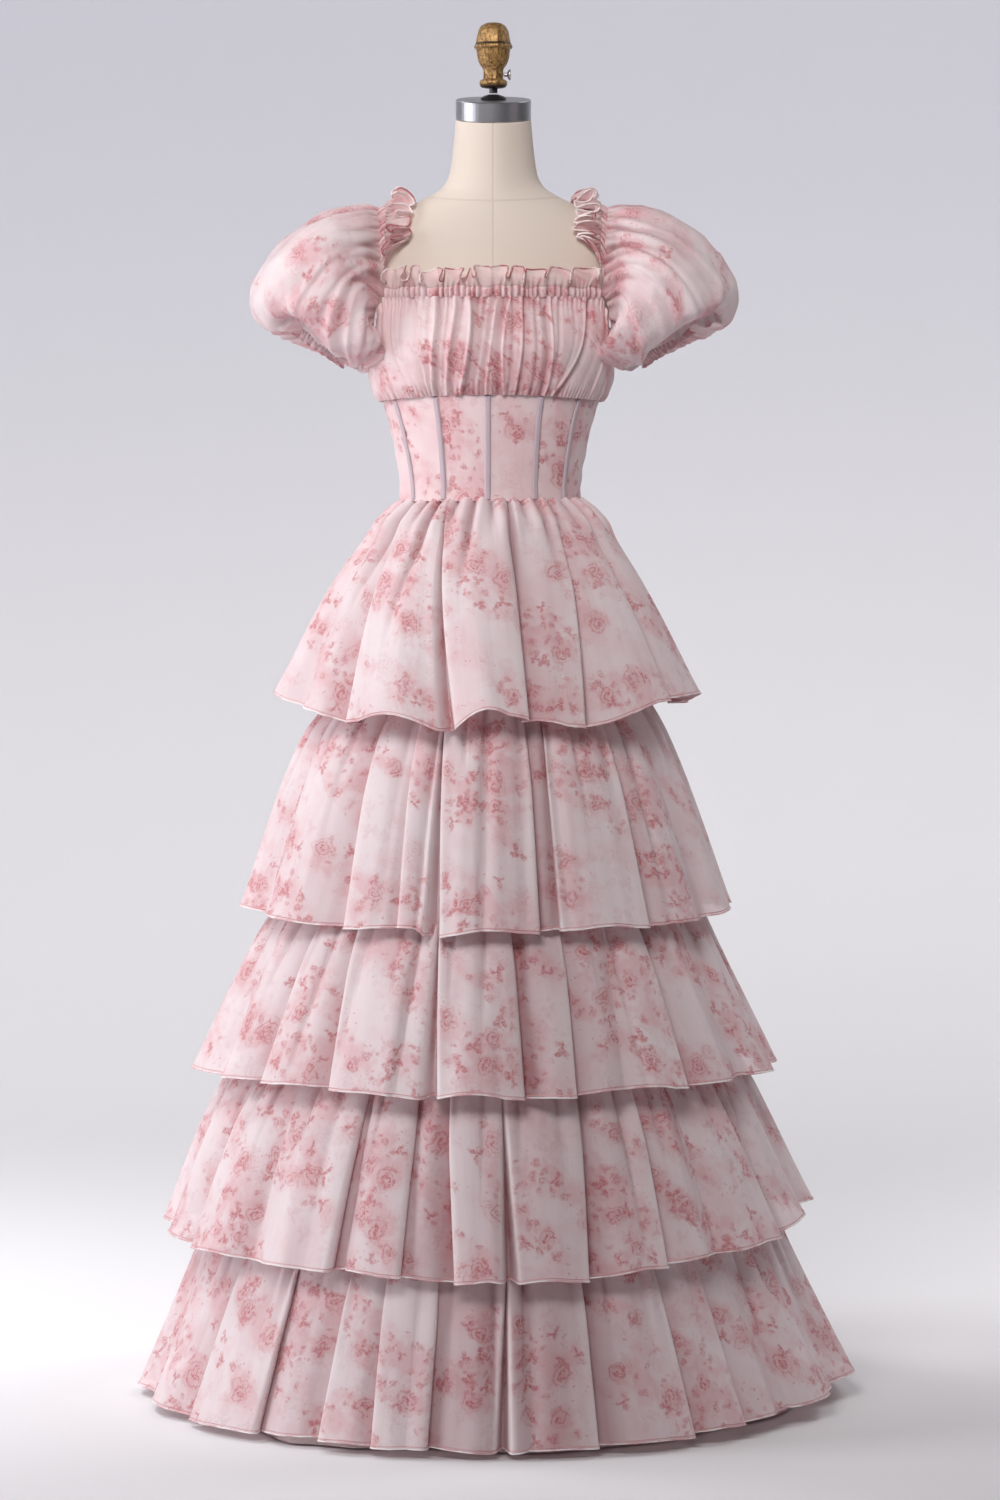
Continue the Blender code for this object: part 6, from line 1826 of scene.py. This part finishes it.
LINEN = linen_material()
heights = list(np.linspace(TORSO[0][0], 1.40, 52)) + list(np.linspace(1.404, TORSO[-1][0], 64))
rings = []
for z in heights:
    w, f, b, cy, tilt = (hermite(TORSO, z, k) for k in range(1, 6))
    ring = []
    for j in range(112):
        a = 2 * pi * j / 112
        x = w * sin(a)
        y = -(f if cos(a) > 0 else b) * cos(a)
        swell = 0.006 * exp(-((abs(wrap(degrees(a))) - 27) / 18) ** 2 - ((z - 1.272) / 0.04) ** 2)
        x += swell * sin(a)
        y -= swell * cos(a)
        ring.append((x, y + cy, z + y * math.tan(radians(tilt))))
    rings.append(ring)
R = np.array(rings)[::-1]
V = R.reshape(-1, 3)
F = grid_faces(len(R), 112, True)
F.append(tuple(range(112)))
last = (len(R) - 1) * 112
F.append(tuple(last + j for j in range(111, -1, -1)))
torso = new_mesh("form_torso_cover", V, F, None, [LINEN])
for p in (torso.data.polygons[len(F) - 1], torso.data.polygons[len(F) - 2]):
    p.use_smooth = False
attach(torso, BODY)
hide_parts("form_torso")


def turned_mesh(name, profile, mats, sides=96, place=Matrix.Identity(4), shape=None):
    """A lathe piece from (radius, height) points, top to bottom."""
    V, F = [], []
    m = len(profile)
    for r, z in profile:
        for j in range(sides):
            a = 2 * pi * j / sides
            x, y, zz = r * sin(a), -r * cos(a), z
            if shape:
                x, y, zz = shape(x, y, zz, a, r)
            V.append(place @ Vector((x, y, zz)))
    F = grid_faces(m, sides, True)
    return new_mesh(name, [tuple(v) for v in V], F, None, mats)


def refine(profile, steps):
    """More points along a profile, rounded at its corners."""
    pts = np.array(profile, float)
    d = np.concatenate([[0], np.cumsum(np.linalg.norm(np.diff(pts, axis=0), axis=1))])
    x = np.linspace(0, d[-1], steps)
    out = np.stack([np.interp(x, d, pts[:, k]) for k in range(2)], 1)
    for _ in range(2):
        out[1:-1] = 0.25 * out[:-2] + 0.5 * out[1:-1] + 0.25 * out[2:]
    return out


def brass_material():
    mat = bpy.data.materials.new("antique_gilt")
    mat.use_nodes = True
    t = Tree(mat.node_tree)
    bsdf = t.nodes["Principled BSDF"]
    co = t.add("ShaderNodeTexCoord").outputs["Object"]
    x, y, z = t.split(co)
    grain = t.noise(t.join(t.math('MULTIPLY', x, 420.0), t.math('MULTIPLY', y, 420.0), t.math('MULTIPLY', z, 150.0)), 1.0, 4.0, 0.65, dims='3D')
    pits = t.noise(co, 260.0, 3.0, 0.7, dims='3D')
    col = t.mix(t.step(0.30, 0.68, grain), rgb(112, 80, 42), rgb(196, 156, 98))
    col = t.mix(t.math('MULTIPLY', t.math('SUBTRACT', 1.0, t.step(0.36, 0.48, pits)), 0.75), col, rgb(74, 50, 26))
    # grime in the ring groove; the bottom of the foot is drawn darker too
    groove = t.math('SUBTRACT', 1.0, t.step(0.0006, 0.0022, t.math('ABSOLUTE', t.math('SUBTRACT', z, 1.6436))))
    foot = t.math('SUBTRACT', 1.0, t.step(1.5925, 1.5958, z))
    groove_grime_and_dark_foot = t.math('MAXIMUM', groove, foot)
    col = t.mix(t.math('MULTIPLY', groove_grime_and_dark_foot, 0.85), col, rgb(42, 30, 24))
    t.links.new(col, bsdf.inputs["Base Color"])
    bump = t.add("ShaderNodeBump")
    bump.inputs["Strength"].default_value = 0.7
    bump.inputs["Distance"].default_value = 0.0009
    t.links.new(t.math('ADD', grain, t.math('MULTIPLY', pits, 0.7)), bump.inputs["Height"])
    t.links.new(bump.outputs[0], bsdf.inputs["Normal"])
    bsdf.inputs["Metallic"].default_value = 0.45
    bsdf.inputs["Roughness"].default_value = 0.42
    return mat


def steel_material():
    mat = bpy.data.materials.new("brushed_steel")
    mat.use_nodes = True
    t = Tree(mat.node_tree)
    bsdf = t.nodes["Principled BSDF"]
    co = t.add("ShaderNodeTexCoord").outputs["Object"]
    x, y, z = t.split(co)
    # turning lines run round the rim and round the disc
    zz = t.math('ADD', z, t.math('MULTIPLY', y, 0.176))
    r = t.math('SQRT', t.math('ADD', t.math('MULTIPLY', x, x), t.math('MULTIPLY', t.math('ADD', y, 0.004), t.math('ADD', y, 0.004))))
    lines = t.noise(t.join(t.math('MULTIPLY', zz, 5200.0), t.math('MULTIPLY', r, 5200.0)), 1.0, 2.0, 0.6)
    tone = t.math('ADD', 0.30, t.math('MULTIPLY', lines, 0.16))
    t.links.new(tone, bsdf.inputs["Roughness"])
    col = t.mix(lines, rgb(188, 188, 194), rgb(214, 214, 218))
    t.links.new(col, bsdf.inputs["Base Color"])
    bump = t.add("ShaderNodeBump")
    bump.inputs["Strength"].default_value = 0.25
    bump.inputs["Distance"].default_value = 0.0001
    t.links.new(lines, bump.inputs["Height"])
    t.links.new(bump.outputs[0], bsdf.inputs["Normal"])
    bsdf.inputs["Metallic"].default_value = 1.0
    return mat


def black_material():
    mat = bpy.data.materials.new("black_lacquer")
    mat.use_nodes = True
    t = Tree(mat.node_tree)
    bsdf = t.nodes["Principled BSDF"]
    co = t.add("ShaderNodeTexCoord").outputs["Object"]
    orange = t.noise(co, 420.0, 2.0, 0.5, dims='3D')
    col = t.mix(orange, rgb(26, 25, 27), rgb(44, 42, 44))
    t.links.new(col, bsdf.inputs["Base Color"])
    bump = t.add("ShaderNodeBump")
    bump.inputs["Strength"].default_value = 0.25
    bump.inputs["Distance"].default_value = 0.0003
    t.links.new(orange, bump.inputs["Height"])
    t.links.new(bump.outputs[0], bsdf.inputs["Normal"])
    bsdf.inputs["Roughness"].default_value = 0.30
    bsdf.inputs["Specular IOR Level"].default_value = 0.6
    return mat


GILT, STEEL, BLACK = brass_material(), steel_material(), black_material()
AXIS_Y = -CAP_HEIGHT * sin(radians(CAP_TILT_DEG))


def cast(x, y, z, a, r):
    """Cast, slightly faceted knob with its mould ridge right of centre."""
    k = 1.0 + 0.010 * sin(3 * a + 0.6) + 0.006 * sin(7 * a + z * 400)
    ridge = 0.0011 * exp(-((wrap(degrees(a)) - 14.0) / 3.2) ** 2) * (1 if z > 1.6 else 0.6)
    back = 0.0008 * exp(-((abs(wrap(degrees(a))) - 166.0) / 4.0) ** 2)
    q = (r * k + (ridge + back) * min(1.0, r / 0.010)) / max(r, 1e-6) if r > 1e-5 else 1.0
    q = min(q, 1.06)
    return x * q, y * q, z


knob = turned_mesh("finial_knob", refine(FINIAL, 150), [GILT], 112, Matrix.Translation((0, AXIS_Y, 0)), cast)
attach(knob, BODY)
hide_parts("finial")

SCREW_PROFILE = (
    # radius, height out along +X
    (0.0000, 0.0078), (0.0030, 0.0077), (0.0042, 0.0083), (0.0052, 0.0089), (0.0060, 0.0086), (0.0063, 0.0076),
    (0.0061, 0.0064), (0.0050, 0.0056), (0.0034, 0.0050), (0.0025, 0.0042), (0.0023, 0.0030), (0.0026, 0.0026),
    (0.0022, 0.0022), (0.0026, 0.0018), (0.0022, 0.0014), (0.0026, 0.0010), (0.0022, 0.0002), (0.0000, 0.0),
)
turn_out = Matrix.Translation((0.0123, AXIS_Y, SCREW_Z)) @ Matrix.Rotation(radians(90), 4, 'Y')


def knurl(x, y, z, a, r):
    k = 1.0 + (0.02 * sin(24 * a) if r > 0.0054 and 0.006 < z < 0.0088 else 0.0)
    return x * k, y * k, z


screw = turned_mesh("thumb_screw_head", refine(SCREW_PROFILE, 60), [STEEL], 72, turn_out, knurl)
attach(screw, "screw")
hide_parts("thumb_screw")

for node, mat in (("form_cap", STEEL), ("neck_washer", BLACK), ("neck_rod", BLACK), ("stand_post", BLACK), ("stand_base", BLACK)):
    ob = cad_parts[node]
    ob.data.materials.clear()
    ob.data.materials.append(mat)

# ================================================================== back zip
TAPE_PINK = cloth_material("zip_tape_cloth", rgb(228, 186, 192), rgb(219, 172, 179), (0, 0, 0, 1), rough=0.6, sheen=0.1, printed=False, weave=1.0)
ZIP_MAT = bpy.data.materials.new("zip_enamel")
ZIP_MAT.use_nodes = True
zt = Tree(ZIP_MAT.node_tree)
zb = zt.nodes["Principled BSDF"]
zn = zt.noise(zt.add("ShaderNodeTexCoord").outputs["Object"], 700.0, 2.0, 0.5, dims='3D')
zt.links.new(zt.mix(zn, rgb(214, 168, 176), rgb(226, 186, 192)), zb.inputs["Base Color"])
zb.inputs["Roughness"].default_value = 0.32
zb.inputs["Metallic"].default_value = 0.25
ZIP_TOP, ZIP_LOW = 1.3380, 1.1000


def zip_off(z):
    """How far the tape stands off the body: flat on the corset, then up
    over the gathered bust."""
    return 0.0014 + 0.0090 * smooth(1.2040, 1.2200, z)


rowsn, cols = 120, 15
P = np.zeros((rowsn, cols, 3))
for i in range(rowsn):
    z = ZIP_TOP - (ZIP_TOP - ZIP_LOW) * i / (rowsn - 1)
    for j in range(cols):
        off = -0.0035 + 0.0070 * j / (cols - 1)
        deg = 180.0 - degrees(-off / hermite(BODICE, z, 1))
        ridge = 0.0009 * exp(-(off / 0.0011) ** 2)
        P[i, j] = body_point(deg, z, zip_off(z) + ridge + 0.0001 * sin(i * 1.3))
uv = np.stack([np.broadcast_to(np.linspace(0, 0.007, cols), (rowsn, cols)), arc_along(P, 0)], 2)
ob = cloth_piece("zip_tape_strip", P, False, uv[:, :-1], uv[:, 1:], [TAPE_PINK, EDGE], flip=False)
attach(ob, BODY)
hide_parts("back_zip")
# coil teeth just showing between the tape's folds
V, F = [], []
for i in range(118):
    z = ZIP_TOP - 0.002 - (ZIP_TOP - ZIP_LOW - 0.006) * i / 117
    c = np.array(body_point(180.0, z, zip_off(z) + 0.0016))
    hx, hy, hz = (0.0010, 0.0005, 0.00055)
    b = len(V)
    for dx, dy, dz in ((-1, -1, -1), (1, -1, -1), (1, 1, -1), (-1, 1, -1), (-1, -1, 1), (1, -1, 1), (1, 1, 1), (-1, 1, 1)):
        V.append(c + np.array([dx * hx, dy * hy, dz * hz]))
    F += [tuple(b + q for q in f) for f in ((0, 3, 2, 1), (4, 5, 6, 7), (0, 1, 5, 4), (1, 2, 6, 5), (2, 3, 7, 6), (3, 0, 4, 7))]
coil = new_mesh("zip_coil", V, F, None, [ZIP_MAT])
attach(coil, BODY)
for node in ("zip_slider", "zip_pull"):
    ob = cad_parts[node]
    ob.data.materials.clear()
    ob.data.materials.append(ZIP_MAT)


# ================================================================== stage
def sweep(y):
    """Height of the paper sweep behind the form."""
    if y < 2.2:
        return 0.0
    if y < 5.0:
        a = (y - 2.2) / 2.8 * (pi / 2)
        return 2.8 * (1 - cos(a))
    return 2.8 + (y - 5.0) * 3.5


ys = [-9.0, -6.0, -3.0, -1.0, 0.5, 1.5] + list(np.linspace(2.2, 4.995, 26)) + [5.02, 6.0, 7.0]
pts, fc = [], []
for y in ys:
    yy = y if y < 2.2 else (2.2 + 2.8 * sin((min(y, 5.0) - 2.2) / 2.8 * pi / 2) + (0.02 if y > 5.0 else 0.0))
    for x in (-9.0, -4.5, -2.0, 0.0, 2.0, 4.5, 9.0):
        pts.append((x, yy, sweep(y)))
fc = grid_faces(len(ys), 7, False, True)
paper = bpy.data.materials.new("studio_paper")
paper.use_nodes = True
pt = Tree(paper.node_tree)
pb = pt.nodes["Principled BSDF"]
pco = pt.add("ShaderNodeTexCoord").outputs["Object"]
px, py, pz = pt.split(pco)
# painted shade: the paper is drawn darker and bluer towards the top of the sweep
up = pt.step(0.0, 2.2, pz)
pt.links.new(pt.mix(up, rgb(252, 251, 253), rgb(228, 227, 235)), pb.inputs["Base Color"])
pb.inputs["Roughness"].default_value = 0.9
pb.inputs["Specular IOR Level"].default_value = 0.1
floor = new_mesh("studio_sweep", pts, fc, None, [paper])


def lamp(name, place, target, size, power, colour, size_y=None, spread=180.0):
    data = bpy.data.lights.new(name, 'AREA')
    data.shape = 'RECTANGLE'
    data.size = size
    data.size_y = size_y or size
    data.energy = power
    data.color = colour
    data.spread = radians(spread)
    ob = bpy.data.objects.new(name, data)
    bpy.context.scene.collection.objects.link(ob)
    ob.location = place
    ob.rotation_euler = (Vector(target) - Vector(place)).to_track_quat('-Z', 'Y').to_euler()
    return ob


lamp("key_left", (-3.8, -0.70, 1.85), (0, 0, 1.05), 1.5, 78, (0.975, 0.968, 1.01), 2.6)
lamp("front_high", (-0.7, -3.2, 3.15), (0, 0, 1.64), 2.0, 18.5, (1.0, 0.955, 0.955), 1.4, spread=70)
lamp("fill_right", (3.4, -1.6, 1.9), (0, 0, 1.1), 1.6, 5.0, (1.0, 0.90, 0.885), 2.4)
lamp("backdrop_left", (-2.8, 1.6, 3.4), (-0.5, 4.5, 1.2), 2.4, 56, (0.99, 0.99, 1.0))
lamp("backdrop_right", (2.8, 1.6, 3.4), (0.5, 4.5, 1.2), 2.4, 62, (0.99, 0.99, 1.0))
lamp("floor_left", (-1.7, 0.6, 2.9), (-1.35, 0.1, 0.0), 1.0, 7.1, (0.99, 0.99, 1.0), spread=70)
lamp("floor_right", (1.9, 0.9, 2.9), (1.4, 0.2, 0.0), 1.0, 3.05, (0.99, 0.99, 1.0), spread=70)

world = bpy.data.worlds.new("studio_air")
bpy.context.scene.world = world
world.use_nodes = True
bg = world.node_tree.nodes["Background"]
bg.inputs[0].default_value = (0.90, 0.90, 0.95, 1.0)
bg.inputs[1].default_value = 0.02

scene = bpy.context.scene
scene.view_settings.view_transform = 'Standard'
scene.view_settings.look = 'None'
scene.view_settings.exposure = 0.0

cam_data = bpy.data.cameras.new("camera")
cam_data.lens = 108.2
cam_data.sensor_width = 36.0
cam = bpy.data.objects.new("camera", cam_data)
scene.collection.objects.link(cam)
cam.location = (0.008, -5.5, 1.092)
cam.rotation_euler = (radians(90.0 - 3.17), 0.0, 0.0)
scene.camera = cam
